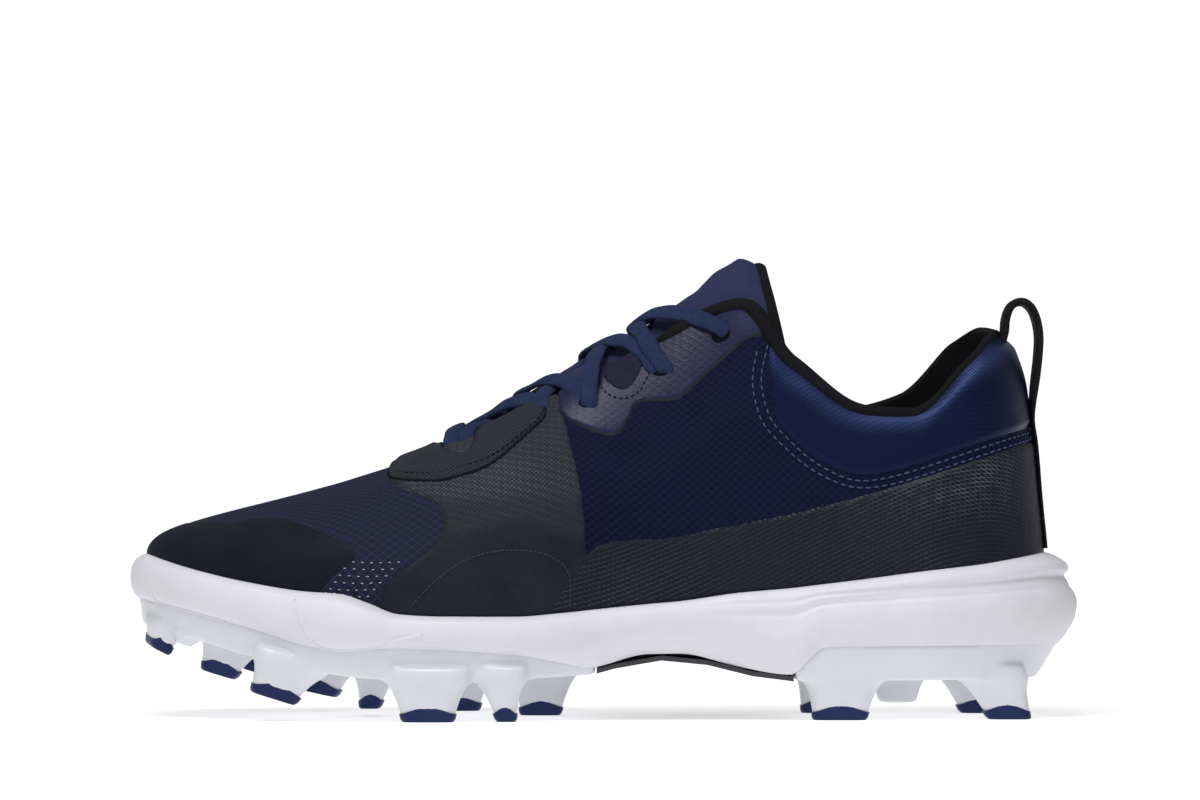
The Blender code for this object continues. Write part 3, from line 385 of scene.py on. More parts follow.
OUTLINE = read_table(OUTLINE_COLUMNS, OUTLINE_ROWS)
EDGE = read_table(EDGE_COLUMNS, EDGE_ROWS)
RIB = read_table(RIB_COLUMNS, RIB_ROWS)
SOLE = read_table(SOLE_COLUMNS, SOLE_ROWS, by_angle=False)
SIDE = read_table(SIDE_COLUMNS, SIDE_ROWS, by_angle=False)
TONGUE = read_table(TONGUE_COLUMNS, TONGUE_ROWS, by_angle=False)


def share_at(x):
    return (LAST_HEEL_X - x) / LAST_LENGTH


def x_at(share):
    return LAST_HEEL_X - share * LAST_LENGTH


def feather_z(x):
    return SOLE["feather"](share_at(x)) * SIDEWALL_HEIGHT


def footbed_z(x):
    return SOLE["footbed"](share_at(x)) * SIDEWALL_HEIGHT


def underside_z(x):
    return SOLE["underside"](share_at(x)) * STUD_HEIGHT


def plate_top_z(x):
    return underside_z(x) + SOLE["plate"](share_at(x)) * PLATE_THICKNESS


def turn_of(u):
    """Angle and side of a place round the foot: 0 heel, 1 toe, 2 heel again."""
    u = np.mod(u, 2.0)
    return math.pi * np.where(u <= 1.0, u, 2 - u), np.where(u <= 1.0, -1.0, 1.0)


def unit(vectors):
    return vectors / np.maximum(np.linalg.norm(vectors, axis=-1, keepdims=True), 1e-12)


def outline_points(u):
    angle, side = turn_of(u)
    x = LAST_HEEL_X - LAST_LENGTH * (1 - np.cos(angle)) / 2
    y = (OUTLINE["centre"](angle) + side * OUTLINE["half"](angle)) * BALL_WIDTH
    return np.stack((x, y, np.zeros_like(x)), axis=-1)


def outline_normals(u):
    step = 1e-3
    along = outline_points(u + step) - outline_points(u - step)
    return unit(np.stack((-along[..., 1], along[..., 0], np.zeros_like(along[..., 0])), axis=-1))


def rib_points(u, v):
    """Points of the upper's outer face: v is 0 at the feather line, 1 at the edge."""
    u, v = np.broadcast_arrays(np.asarray(u, float), np.asarray(v, float))
    angle, side = turn_of(u)
    foot = outline_points(u)
    near_side = side < 0
    edge_x = x_at(EDGE["edge_x"](angle))
    edge_y = side * np.where(near_side, EDGE["y_lateral"](angle), EDGE["y_medial"](angle)) * BALL_WIDTH
    edge_z = np.where(near_side, EDGE["z_lateral"](angle), EDGE["z_medial"](angle))
    share = (1 - np.cos(angle)) / 2
    low = feather_z(foot[..., 0])
    high = edge_z * mix(HEEL_HEIGHT, INSTEP_HEIGHT, ease(ANKLE_BACK, ANKLE_FRONT, share))
    inward = np.stack((edge_x - foot[..., 0], edge_y - foot[..., 1]), axis=-1)
    run = np.linalg.norm(inward, axis=-1)
    belly = RIB["belly"](angle) * BALL_WIDTH
    rise = RIB["rise"](angle) * (high - low)
    reach = RIB["reach"](angle) * run
    drop = RIB["drop"](angle) * (high - low)
    near = 3 * v * (1 - v) ** 2
    far = 3 * v * v * (1 - v)
    plan = near * -belly + far * (run - reach) + v ** 3 * run
    height = (1 - v) ** 3 * low + near * (low + rise) + far * (high - drop) + v ** 3 * high
    flat = foot[..., :2] + inward / run[..., None] * plan[..., None]
    return np.concatenate((flat, height[..., None]), axis=-1)


def upper_normals(u, v):
    step = 1e-3
    u, v = np.broadcast_arrays(np.asarray(u, float), np.asarray(v, float))
    across = rib_points(u + step, v) - rib_points(u - step, v)
    up = rib_points(u, np.minimum(v + step, 1.0)) - rib_points(u, np.maximum(v - step, 0.0))
    normal = unit(np.cross(up, across))
    return np.where(v[..., None] <= 0.0, outline_normals(u), normal)


def crease_height(points):
    """Height of the creases and of the heel's fullness at points of the upper."""
    x, z = points[..., 0] / MM, points[..., 2] / MM
    total = np.zeros_like(x)
    for cx, cz, half_length, half_width, turn, height in CREASES:
        turn = math.radians(turn)
        along = (x - cx) * math.cos(turn) + (z - cz) * math.sin(turn)
        across = (z - cz) * math.cos(turn) - (x - cx) * math.sin(turn)
        total += height * np.exp(-(along / half_length) ** 2 - (across / half_width) ** 2)
    fullness, middle, half, start, full = HEEL_FULLNESS
    swell = fullness * np.exp(-((z - middle) / half) ** 2) * (1 - 0.7 * ease(*HEEL_FADE, z))
    return total + swell * ease(start, full, x)


def upper_points(u, v, offset=0.0):
    """Points off the upper's creased face, along its outward normals."""
    base = rib_points(u, v)
    lift = crease_height(base) + offset
    return base + upper_normals(u, v) * np.asarray(lift)[..., None]


def place_at(share, side=-1):
    place = angle_of(share) / math.pi
    return place if side < 0 else 2.0 - place


def smooth_line(points, count, closed=False):
    """Smooth curve through given points, count points per span."""
    points = [np.array(point, float) for point in points]
    total = len(points)
    made = []
    for i in range(total if closed else total - 1):
        if closed:
            a, b, c, d = (points[(i + k) % total] for k in (-1, 0, 1, 2))
        else:
            a, b, c, d = (points[min(max(i + k, 0), total - 1)] for k in (-1, 0, 1, 2))
        for k in range(count):
            t = k / count
            made.append(0.5 * (2 * b + (c - a) * t + (2 * a - 5 * b + 4 * c - d) * t * t
                               + (3 * b - a - 3 * c + d) * t ** 3))
    if not closed:
        made.append(points[-1])
    return np.array(made)


def resample(line, spacing):
    """Points an even distance apart along a line."""
    steps = np.linalg.norm(np.diff(line, axis=0), axis=1)
    reached = np.concatenate(([0.0], np.cumsum(steps)))
    count = max(2, int(round(reached[-1] / spacing)) + 1)
    at = np.linspace(0, reached[-1], count)
    return np.stack([np.interp(at, reached, line[:, i]) for i in range(line.shape[1])], axis=1)


SEEK_U = np.linspace(0.0, 1.0, 161)
SEEK_V = np.linspace(0.0, 1.0, 81)
SEEK_GRID = {}


def find_places(line, side):
    """Places (u, v) on one side of the upper whose x and z are those of a line in millimetres."""
    if side not in SEEK_GRID:
        u, v = np.meshgrid(SEEK_U if side < 0 else 2 - SEEK_U, SEEK_V, indexing="ij")
        SEEK_GRID[side] = (u.ravel(), v.ravel(), rib_points(u, v).reshape(-1, 3))
    all_u, all_v, all_points = SEEK_GRID[side]
    target = np.asarray(line, float) * MM
    found = []
    for x, z in target:
        nearest = np.argmin((all_points[:, 0] - x) ** 2 + (all_points[:, 2] - z) ** 2)
        found.append((all_u[nearest], all_v[nearest]))
    u, v = np.array(found).T
    step = 1e-4
    for _ in range(5):
        here = rib_points(u, v)[:, (0, 2)]
        du = (rib_points(u + step, v)[:, (0, 2)] - here) / step
        dv = (rib_points(u, v - step)[:, (0, 2)] - here) / -step
        miss = target - here
        det = du[:, 0] * dv[:, 1] - du[:, 1] * dv[:, 0]
        det = np.where(np.abs(det) < 1e-7, 1e-7, det)
        move_u = (miss[:, 0] * dv[:, 1] - miss[:, 1] * dv[:, 0]) / det
        move_v = (du[:, 0] * miss[:, 1] - du[:, 1] * miss[:, 0]) / det
        u = u + np.clip(move_u, -0.01, 0.01)
        v = np.clip(v + np.clip(move_v, -0.02, 0.02), 0.0, 1.0)
    return u, v


# Mesh helpers

def keep_smooth(mesh, angle=None):
    mesh.shade_smooth()
    if angle is not None:
        mesh.set_sharp_from_angle(angle=math.radians(angle))


def make_piece(name, points, faces, materials, slots=None, place=None, values=None, sharp=None):
    """A mesh piece; place is its millimetre coordinates for weaves, values are named masks."""
    mesh = bpy.data.meshes.new(name)
    mesh.from_pydata(np.asarray(points, float).tolist(), [], faces)
    for material in materials:
        mesh.materials.append(material)
    if slots is not None:
        mesh.polygons.foreach_set("material_index", slots)
    if place is not None:
        layer = mesh.uv_layers.new(name="place")
        corners = np.zeros(len(mesh.loops), int)
        mesh.loops.foreach_get("vertex_index", corners)
        layer.data.foreach_set("uv", np.asarray(place, float)[corners].ravel())
    for key, value in (values or {}).items():
        mesh.attributes.new(key, "FLOAT", "POINT").data.foreach_set("value", np.asarray(value, float).ravel())
    keep_smooth(mesh, sharp)
    made = bpy.data.objects.new(name, mesh)
    bpy.context.scene.collection.objects.link(made)
    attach(made, "root")
    return made


def finish_piece(piece, nodes=()):
    if nodes:
        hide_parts(*nodes)
    return piece


def grid_faces(columns, rows, wrap=False, keep=None):
    """Quads of a grid whose points are stored column by column."""
    i, j = np.meshgrid(np.arange(columns if wrap else columns - 1), np.arange(rows - 1), indexing="ij")
    after = (i + 1) % columns
    quads = np.stack((i * rows + j, i * rows + j + 1, after * rows + j + 1, after * rows + j), axis=-1)
    quads = quads.reshape(-1, 4)
    if keep is not None:
        quads = quads[keep.ravel()[quads].any(axis=1)]
    return quads.tolist()


def add_solidify(piece, thickness, offset=-1.0):
    step = piece.modifiers.new("wall", "SOLIDIFY")
    step.thickness = thickness
    step.offset = offset
    step.use_even_offset = False
    return step


def girth_place(points):
    """Weave coordinates in millimetres along the shoe and round its girth."""
    return np.stack((points[..., 0], points[..., 2] - np.abs(points[..., 1])), axis=-1).reshape(-1, 2) / MM


def outline_distance(points, outline):
    """Distance inside an outline seen from the side, in millimetres measured on the surface."""
    line = smooth_line(outline, 6, closed=True)
    flat = points[..., (0, 2)] / MM
    x, z = flat[..., 0], flat[..., 1]
    nearest = np.full(x.shape, 1e9)
    inside = np.zeros(x.shape, bool)
    for (ax, az), (bx, bz) in zip(line, np.roll(line, -1, axis=0)):
        dx, dz = bx - ax, bz - az
        t = np.clip(((x - ax) * dx + (z - az) * dz) / max(dx * dx + dz * dz, 1e-9), 0, 1)
        nearest = np.minimum(nearest, np.hypot(x - ax - t * dx, z - az - t * dz))
        if az != bz:
            crosses = ((az > z) != (bz > z)) & (x < (bx - ax) * (z - az) / (bz - az) + ax)
            inside ^= crosses
    distance = np.where(inside, nearest, -nearest)
    pu, pv = np.gradient(points / MM, axis=0), np.gradient(points / MM, axis=1)
    du, dv = np.gradient(distance, axis=0), np.gradient(distance, axis=1)
    e, f, g = (pu * pu).sum(-1), (pu * pv).sum(-1), (pv * pv).sum(-1)
    det = np.maximum(e * g - f * f, 1e-9)
    slope = np.sqrt(np.maximum((g * du * du - 2 * f * du * dv + e * dv * dv) / det, 0))
    return distance / np.clip(slope, 0.35, 1.2)


def panel(name, outline, span, low, high, cell, profile, material, buried=0.5 * MM, extra=None):
    """A thin panel on the upper, its edge sunk into the face under it.

    Profile gives its height over the face from the distance inside its outline
    in millimetres, u and v.
    """
    first, last = span
    columns = int((last - first) * PANEL_LENGTH / cell)
    rows = int((high - low) * PANEL_HEIGHT / cell)
    u, v = np.meshgrid(np.linspace(first, last, columns), np.linspace(low, high, rows), indexing="ij")
    face = rib_points(u, v)
    distance = outline_distance(face, outline)
    height = profile(distance, u, v, face)
    points = upper_points(u, v, height)
    values = {"inside": distance}
    if extra is not None:
        values.update(extra(distance, u, v, face))
    faces = grid_faces(columns, rows, keep=distance > -1.2)
    piece = make_piece(name, points.reshape(-1, 3), faces, [material], place=girth_place(face), values=values)
    drop_loose(piece)
    add_solidify(piece, buried)
    return piece


def drop_loose(piece):
    work = bmesh.new()
    work.from_mesh(piece.data)
    bmesh.ops.delete(work, geom=[point for point in work.verts if not point.link_faces], context="VERTS")
    work.to_mesh(piece.data)
    work.free()


def face_outward(piece):
    work = bmesh.new()
    work.from_mesh(piece.data)
    bmesh.ops.recalc_face_normals(work, faces=work.faces)
    work.to_mesh(piece.data)
    work.free()


def sweep(name, route, normals, widths, thicknesses, section, material, closed=False):
    """A strap or cord swept along a route; the section is in half widths and half thicknesses."""
    route = np.asarray(route, float)
    count = len(route)
    if closed:
        along = unit(np.roll(route, -1, axis=0) - np.roll(route, 1, axis=0))
    else:
        along = unit(np.gradient(route, axis=0))
    side = unit(np.cross(along, normals))
    up = unit(np.cross(side, along))
    section = np.asarray(section, float)
    half_w = np.broadcast_to(widths, count)[:, None, None] / 2
    half_t = np.broadcast_to(thicknesses, count)[:, None, None] / 2
    points = (route[:, None] + side[:, None] * section[None, :, 0:1] * half_w
              + up[:, None] * section[None, :, 1:2] * half_t)
    ring = len(section)
    reached = np.concatenate(([0.0], np.cumsum(np.linalg.norm(np.diff(route, axis=0), axis=1)))) / MM
    turn = np.cumsum(np.concatenate(([0.0], np.linalg.norm(np.diff(section, axis=0), axis=1))))
    place = np.stack(np.meshgrid(reached, turn * float(np.mean(widths)) / 2 / MM, indexing="ij"), axis=-1)
    faces = []
    total = count if closed else count - 1
    for i in range(total):
        a, b = i * ring, ((i + 1) % count) * ring
        for j in range(ring):
            after = (j + 1) % ring
            faces.append((a + j, b + j, b + after, a + after))
    if not closed:
        faces += [tuple(range(ring))[::-1], tuple(range((count - 1) * ring, count * ring))]
    return make_piece(name, points.reshape(-1, 3), faces, [material], place=place.reshape(-1, 2))


def round_section(count, power=2.0):
    """A superellipse; power 2 is round, larger is squarer."""
    angles = np.arange(count) * 2 * math.pi / count
    c, s = np.cos(angles), np.sin(angles)
    return np.stack((np.sign(c) * np.abs(c) ** (2 / power), np.sign(s) * np.abs(s) ** (2 / power)), axis=1)


def join_pieces(name, pieces):
    """One piece from several, with the first one's materials."""
    first = pieces[0]
    with bpy.context.temp_override(active_object=first, object=first, selected_objects=pieces,
                                   selected_editable_objects=pieces):
        bpy.ops.object.join()
    first.name = name
    return first


def value_at(rows, reached, at):
    return np.array([np.interp(at, reached, rows[:, i]) for i in range(3)])


def stitch_row(name, points, normals, size, gap, material):
    """A row of thread stitches as one joined mesh, each a small rounded bar on the surface."""
    length, width, height = size
    points = np.asarray(points)
    reached = np.concatenate(([0.0], np.cumsum(np.linalg.norm(np.diff(points, axis=0), axis=1))))
    count = max(1, int(reached[-1] / (length + gap)))
    starts = (np.arange(count) + 0.5) * reached[-1] / count
    sides = 8
    ring = round_section(sides)
    shape = ((-1.0, 0.15), (-0.85, 0.75), (0.0, 1.0), (0.85, 0.75), (1.0, 0.15))
    verts, faces = [], []
    for start in starts:
        middle = value_at(points, reached, start)
        normal = unit(value_at(normals, reached, start))
        along = unit(value_at(points, reached, start + length / 2)
                     - value_at(points, reached, start - length / 2))
        side = np.cross(normal, along)
        base = len(verts)
        for at, grow in shape:
            for a, b in ring:
                verts.append(middle + along * at * length / 2 + side * a * grow * width / 2
                             + normal * (b * grow * height / 2))
        for k in range(len(shape) - 1):
            for i in range(sides):
                a = base + k * sides + i
                b = base + k * sides + (i + 1) % sides
                faces.append((a, a + sides, b + sides, b))
        faces.append(tuple(base + i for i in range(sides)))
        faces.append(tuple(base + (len(shape) - 1) * sides + i for i in reversed(range(sides))))
    return make_piece(name, verts, faces, [material])


def line_on_upper(outline, side, offset, spacing=0.6 * MM, closed=False, steps=8):
    """A line drawn from the side, laid on the upper: its points and normals."""
    u, v = find_places(smooth_line(outline, steps, closed), side)
    points = upper_points(u, v, offset)
    both = resample(np.concatenate((points, upper_normals(u, v)), axis=1), spacing)
    return both[:, :3], unit(both[:, 3:])


# Shader helpers

def fill_socket(tree, target, value):
    """Link a socket, or set a constant."""
    if isinstance(value, bpy.types.NodeSocket):
        tree.links.new(value, target)
    else:
        target.default_value = value


def add_node(tree, kind, inputs=None, **settings):
    made = tree.nodes.new(kind)
    for key, value in settings.items():
        setattr(made, key, value)
    for key, value in (inputs or {}).items():
        fill_socket(tree, made.inputs[key], value)
    return made


def compute(tree, operation, *values):
    inputs = {i: value for i, value in enumerate(values)}
    return add_node(tree, "ShaderNodeMath", inputs, operation=operation).outputs[0]


def times(tree, first, second):
    return compute(tree, "MULTIPLY", first, second)


def blend_colour(tree, factor, low, high):
    made = add_node(tree, "ShaderNodeMix", data_type="RGBA")
    for index, value in ((0, factor), (6, low), (7, high)):
        fill_socket(tree, made.inputs[index], (*value, 1.0) if isinstance(value, tuple) else value)
    return made.outputs[2]


def span_mask(tree, value, low, high):
    made = add_node(tree, "ShaderNodeMapRange", {"Value": value, "From Min": low, "From Max": high},
                    interpolation_type="SMOOTHSTEP")
    return made.outputs["Result"]


def make_group(name, inputs, outputs, fill):
    """A node group; fill returns its output sockets by name."""
    tree = bpy.data.node_groups.new(name, "ShaderNodeTree")
    for key, (kind, value) in inputs.items():
        socket = tree.interface.new_socket(name=key, in_out="INPUT", socket_type="NodeSocket" + kind)
        if value is not None:
            socket.default_value = value
    for key, kind in outputs.items():
        tree.interface.new_socket(name=key, in_out="OUTPUT", socket_type="NodeSocket" + kind)
    start = tree.nodes.new("NodeGroupInput")
    end = tree.nodes.new("NodeGroupOutput")
    for key, socket in fill(tree, start.outputs).items():
        tree.links.new(socket, end.inputs[key])
    return tree


def split(tree, vector):
    parts = add_node(tree, "ShaderNodeSeparateXYZ", {0: vector})
    return parts.outputs[0], parts.outputs[1]


def slanted(tree, place, turn):
    """Distance along a direction turned from the weave's own."""
    x, y = split(tree, place)
    return compute(tree, "MULTIPLY_ADD", x, math.cos(turn), times(tree, y, math.sin(turn)))


def wave(tree, value, pitch):
    """Sine of a coordinate with the given pitch."""
    return compute(tree, "SINE", times(tree, compute(tree, "DIVIDE", value, pitch), 2 * math.pi))


def fill_weave(tree, given):
    x, y = split(tree, given["Place"])
    product = times(tree, wave(tree, x, given["Pitch"]), wave(tree, y, given["Pitch"]))
    height = compute(tree, "MULTIPLY_ADD", product, 0.5, 0.5)
    noise = add_node(tree, "ShaderNodeTexNoise", {"Vector": given["Place"], "Scale": 3.0, "Detail": 2.0})
    rough = compute(tree, "MULTIPLY_ADD", noise.outputs["Fac"], 0.35, times(tree, height, 0.65))
    return {"Height": rough, "Gap": compute(tree, "SUBTRACT", 1.0, height)}


WEAVE = make_group("plain weave", {"Place": ("Vector", None), "Pitch": ("Float", 0.8)},
                   {"Height": "Float", "Gap": "Float"}, fill_weave)


def fill_grid(tree, given):
    x, y = split(tree, given["Place"])
    parts = []
    for turn in (given["Turn"], compute(tree, "ADD", given["Turn"], given["Opening"])):
        along = times(tree, x, compute(tree, "COSINE", turn))
        along = compute(tree, "ADD", along, times(tree, y, compute(tree, "SINE", turn)))
        parts.append(compute(tree, "PINGPONG", along, times(tree, given["Spacing"], 0.5)))
    nearest = compute(tree, "MINIMUM", *parts)
    return {"Line": span_mask(tree, nearest, given["Width"], 0.0)}


GRID = make_group("crossed lines",
                  {"Place": ("Vector", None), "Spacing": ("Float", 3.0), "Width": ("Float", 0.3),
                   "Turn": ("Float", 0.6), "Opening": ("Float", 1.57)},
                  {"Line": "Float"}, fill_grid)


def fill_mottle(tree, given):
    where = add_node(tree, "ShaderNodeTexCoord").outputs["Object"]
    big = add_node(tree, "ShaderNodeTexNoise", {"Vector": where, "Scale": given["Scale"], "Detail": 3.0})
    small = add_node(tree, "ShaderNodeTexNoise",
                     {"Vector": where, "Scale": times(tree, given["Scale"], 9.0), "Detail": 2.0})
    coarse = times(tree, big.outputs["Fac"], 0.65)
    both = compute(tree, "MULTIPLY_ADD", small.outputs["Fac"], 0.35, coarse)
    return {"Patch": span_mask(tree, both, 0.32, 0.68)}


MOTTLE = make_group("mottle", {"Scale": ("Float", 40.0)}, {"Patch": "Float"}, fill_mottle)


def fill_twill(tree, given):
    x, y = split(tree, given["Place"])
    slant = compute(tree, "ADD", times(tree, x, 0.86), times(tree, y, 0.5))
    cross = compute(tree, "SUBTRACT", times(tree, x, 0.5), times(tree, y, 0.86))
    rib = compute(tree, "MULTIPLY_ADD", wave(tree, slant, given["Pitch"]), 0.5, 0.5)
    long_pitch = times(tree, given["Pitch"], 1.8)
    float_run = compute(tree, "MULTIPLY_ADD", wave(tree, cross, long_pitch), 0.5, 0.5)
    return {"Height": compute(tree, "MULTIPLY_ADD", float_run, 0.3, times(tree, rib, 0.7))}


def fill_edge_line(tree, given):
    core = times(tree, given["Width"], 0.4)
    return {"Line": span_mask(tree, given["Inside"], given["Width"], core)}


EDGE_LINE = make_group("edge line", {"Inside": ("Float", None), "Width": ("Float", 0.8)},
                       {"Line": "Float"}, fill_edge_line)
TWILL = make_group("twill", {"Place": ("Vector", None), "Pitch": ("Float", 0.9)},
                   {"Height": "Float"}, fill_twill)


def use_group(tree, group, **inputs):
    made = tree.nodes.new("ShaderNodeGroup")
    made.node_tree = group
    for key, value in inputs.items():
        fill_socket(tree, made.inputs[key], value)
    return made.outputs


def mottle(tree, scale):
    return use_group(tree, MOTTLE, Scale=scale)["Patch"]


def weave_place(tree):
    return add_node(tree, "ShaderNodeUVMap", uv_map="place").outputs[0]


def attribute(tree, name):
    return add_node(tree, "ShaderNodeAttribute", attribute_name=name).outputs["Fac"]


def add_bump(tree, height, strength, distance):
    made = add_node(tree, "ShaderNodeBump", {"Height": height, "Strength": strength, "Distance": distance})
    return made.outputs["Normal"]


def new_material(name, colour, roughness, normal=None, **constants):
    """A Principled material; colour and roughness may be sockets made by a builder."""
    material = bpy.data.materials.new(name)
    material.use_nodes = True
    tree = material.node_tree
    shader = tree.nodes["Principled BSDF"]
    for key, value in constants.items():
        shader.inputs[key.replace("_", " ")].default_value = value
    made = {"Base Color": colour(tree) if callable(colour) else (*colour, 1.0),
            "Roughness": roughness(tree) if callable(roughness) else roughness}
    if normal is not None:
        made["Normal"] = normal(tree)
    for key, value in made.items():
        fill_socket(tree, shader.inputs[key], value)
    return material


def ripstop_line(tree, place, vamp):
    spacing = compute(tree, "MULTIPLY_ADD", vamp, 0.4, 2.1)
    return use_group(tree, GRID, Place=place, Spacing=spacing, Width=0.38, Turn=0.785, Opening=1.57)["Line"]


def ripstop_material():
    def colour(tree):
        place, vamp = weave_place(tree), attribute(tree, "vamp")
        patch = mottle(tree, 45.0)
        quarter = blend_colour(tree, patch, (0.0022, 0.0036, 0.0195), (0.0038, 0.0056, 0.027))
        # The vamp is lighter than the quarter: partly its own paler cloth, partly painted light on its
        # upward-facing top.
        base = blend_colour(tree, vamp, quarter, (0.014, 0.016, 0.038))
        line = blend_colour(tree, vamp, (0.012, 0.016, 0.050), (0.038, 0.043, 0.090))
        share = times(tree, ripstop_line(tree, place, vamp), 0.6)
        lined = blend_colour(tree, share, base, line)
        weave = use_group(tree, WEAVE, Place=place, Pitch=0.72)
        return blend_colour(tree, times(tree, weave["Gap"], 0.4), lined, (0.0018, 0.0026, 0.012))

    def normal(tree):
        place = weave_place(tree)
        weave = use_group(tree, WEAVE, Place=place, Pitch=0.72)
        line = ripstop_line(tree, place, attribute(tree, "vamp"))
        height = compute(tree, "MULTIPLY_ADD", line, 0.8, times(tree, weave["Height"], 0.5))
        return add_bump(tree, height, 0.6, 0.00025)

    return new_material("navy_ripstop", colour, 0.62, normal, Specular_IOR_Level=0.06)


def film_material(name, low, high, roughness, emboss, gloss):
    def colour(tree):
        return blend_colour(tree, mottle(tree, 60.0), low, high)

    def rough(tree):
        return compute(tree, "MULTIPLY_ADD", mottle(tree, 120.0), 0.12, roughness)

    def normal(tree):
        weave = use_group(tree, WEAVE, Place=weave_place(tree), Pitch=0.9)
        return add_bump(tree, weave["Height"], emboss, 0.00015)

    return new_material(name, colour, rough, normal, Specular_IOR_Level=gloss)


def stay_film_material():
    def colour(tree):
        place = weave_place(tree)
        patch = mottle(tree, 60.0)
        base = blend_colour(tree, patch, (0.0047, 0.0055, 0.031), (0.0080, 0.0093, 0.043))
        # Lighter colour in two patches given by the mask below.
        worn = blend_colour(tree, attribute(tree, "worn"), base, (0.012, 0.014, 0.052))
        grid = use_group(tree, GRID, Place=place, Spacing=2.3, Width=0.36, Turn=0.785, Opening=1.57)
        lined = blend_colour(tree, times(tree, grid["Line"], 0.10), worn, (0.030, 0.033, 0.090))
        edge = use_group(tree, EDGE_LINE, Inside=attribute(tree, "inside"), Width=0.7)["Line"]
        return blend_colour(tree, edge, lined, (0.006, 0.006, 0.014))

    def rough(tree):
        return compute(tree, "MULTIPLY_ADD", mottle(tree, 120.0), 0.12, 0.34)

    def normal(tree):
        place = weave_place(tree)
        grid = use_group(tree, GRID, Place=place, Spacing=2.3, Width=0.6, Turn=0.785, Opening=1.57)
        return add_bump(tree, grid["Line"], 0.2, 0.00012)

    return new_material("violet_film", colour, rough, normal, Specular_IOR_Level=0.22)


def saddle_material():
    def colour(tree):
        place = weave_place(tree)
        weave = use_group(tree, WEAVE, Place=place, Pitch=0.95)
        thread = compute(tree, "POWER", weave["Height"], 2.0)
        mesh = blend_colour(tree, thread, (0.007, 0.009, 0.014), (0.030, 0.034, 0.048))
        # Painted sheen: bright specks along a fine grid on the threads, in slanted bands, where the sheen mask
        # lies; a painted highlight of the light the mesh catches.
        fine = use_group(tree, GRID, Place=place, Spacing=1.1, Width=0.30, Turn=0.62, Opening=1.9)
        band = compute(tree, "MULTIPLY_ADD", wave(tree, slanted(tree, place, 1.25), 2.9), 0.28, 0.62)
        speck = times(tree, times(tree, fine["Line"], thread), band)
        light = times(tree, speck, times(tree, attribute(tree, "streak"), 0.75))
        lit = blend_colour(tree, light, mesh, (0.34, 0.35, 0.38))
        patch = mottle(tree, 60.0)
        film = blend_colour(tree, patch, (0.0085, 0.0105, 0.0195), (0.0125, 0.0145, 0.0255))
        return blend_colour(tree, attribute(tree, "film"), lit, film)

    def rough(tree):
        return compute(tree, "MULTIPLY_ADD", attribute(tree, "film"), -0.12, 0.6)

    def normal(tree):
        weave = use_group(tree, WEAVE, Place=weave_place(tree), Pitch=0.95)
        depth = compute(tree, "MULTIPLY_ADD", attribute(tree, "film"), -0.85, 1.0)
        return add_bump(tree, times(tree, weave["Height"], depth), 0.7, 0.00028)

    return new_material("saddle_mesh", colour, rough, normal, Specular_IOR_Level=0.12)


def padded_material():
    def colour(tree):
        place = weave_place(tree)
        twill = use_group(tree, TWILL, Place=place, Pitch=0.95)
        base = blend_colour(tree, twill["Height"], (0.005, 0.006, 0.010), (0.040, 0.045, 0.062))
        patch = mottle(tree, 70.0)
        mixed = blend_colour(tree, times(tree, patch, 0.3), base, (0.012, 0.014, 0.022))
        # A darker rim along the panel's edge: partly a dark edge of the panel, partly painted shade where the
        # raised edge meets the upper.
        edge = use_group(tree, EDGE_LINE, Inside=attribute(tree, "inside"), Width=1.1)["Line"]
        return blend_colour(tree, edge, mixed, (0.003, 0.003, 0.005))

    def normal(tree):
        twill = use_group(tree, TWILL, Place=weave_place(tree), Pitch=0.95)
        return add_bump(tree, twill["Height"], 0.8, 0.0003)

    return new_material("padded_mesh", colour, 0.75, normal, Specular_IOR_Level=0.12)


def mesh_material(name, low, high, pitch, depth=0.0003, roughness=0.75, **constants):
    def colour(tree):
        weave = use_group(tree, WEAVE, Place=weave_place(tree), Pitch=pitch)
        base = blend_colour(tree, weave["Height"], low, high)
        speck = mottle(tree, 70.0)
        return blend_colour(tree, times(tree, speck, 0.35), base, low)

    def normal(tree):
        weave = use_group(tree, WEAVE, Place=weave_place(tree), Pitch=pitch)
        return add_bump(tree, weave["Height"], 0.7, depth)

    return new_material(name, colour, roughness, normal, Specular_IOR_Level=0.10, **constants)


def satin_material():
    def colour(tree):
        twill = use_group(tree, TWILL, Place=weave_place(tree), Pitch=0.85)
        base = blend_colour(tree, twill["Height"], (0.0012, 0.0016, 0.009), (0.0048, 0.0066, 0.029))
        patch = times(tree, mottle(tree, 30.0), 0.3)
        mixed = blend_colour(tree, patch, base, (0.003, 0.004, 0.018))
        # Painted highlight: a lighter blue band along the pad's crown, brighter on the twill's raised threads,
        # where the overhead light falls.
        shine = compute(tree, "MULTIPLY_ADD", twill["Height"], 0.7, 0.25)
        painted_highlight = times(tree, attribute(tree, "crown"), shine)
        return blend_colour(tree, painted_highlight, mixed, (0.030, 0.048, 0.135))

    def normal(tree):
        twill = use_group(tree, TWILL, Place=weave_place(tree), Pitch=0.85)
        return add_bump(tree, twill["Height"], 0.45, 0.0002)

    return new_material("satin", colour, 0.33, normal, Specular_IOR_Level=0.30,
                        Specular_Tint=(0.25, 0.38, 1.0, 1.0))


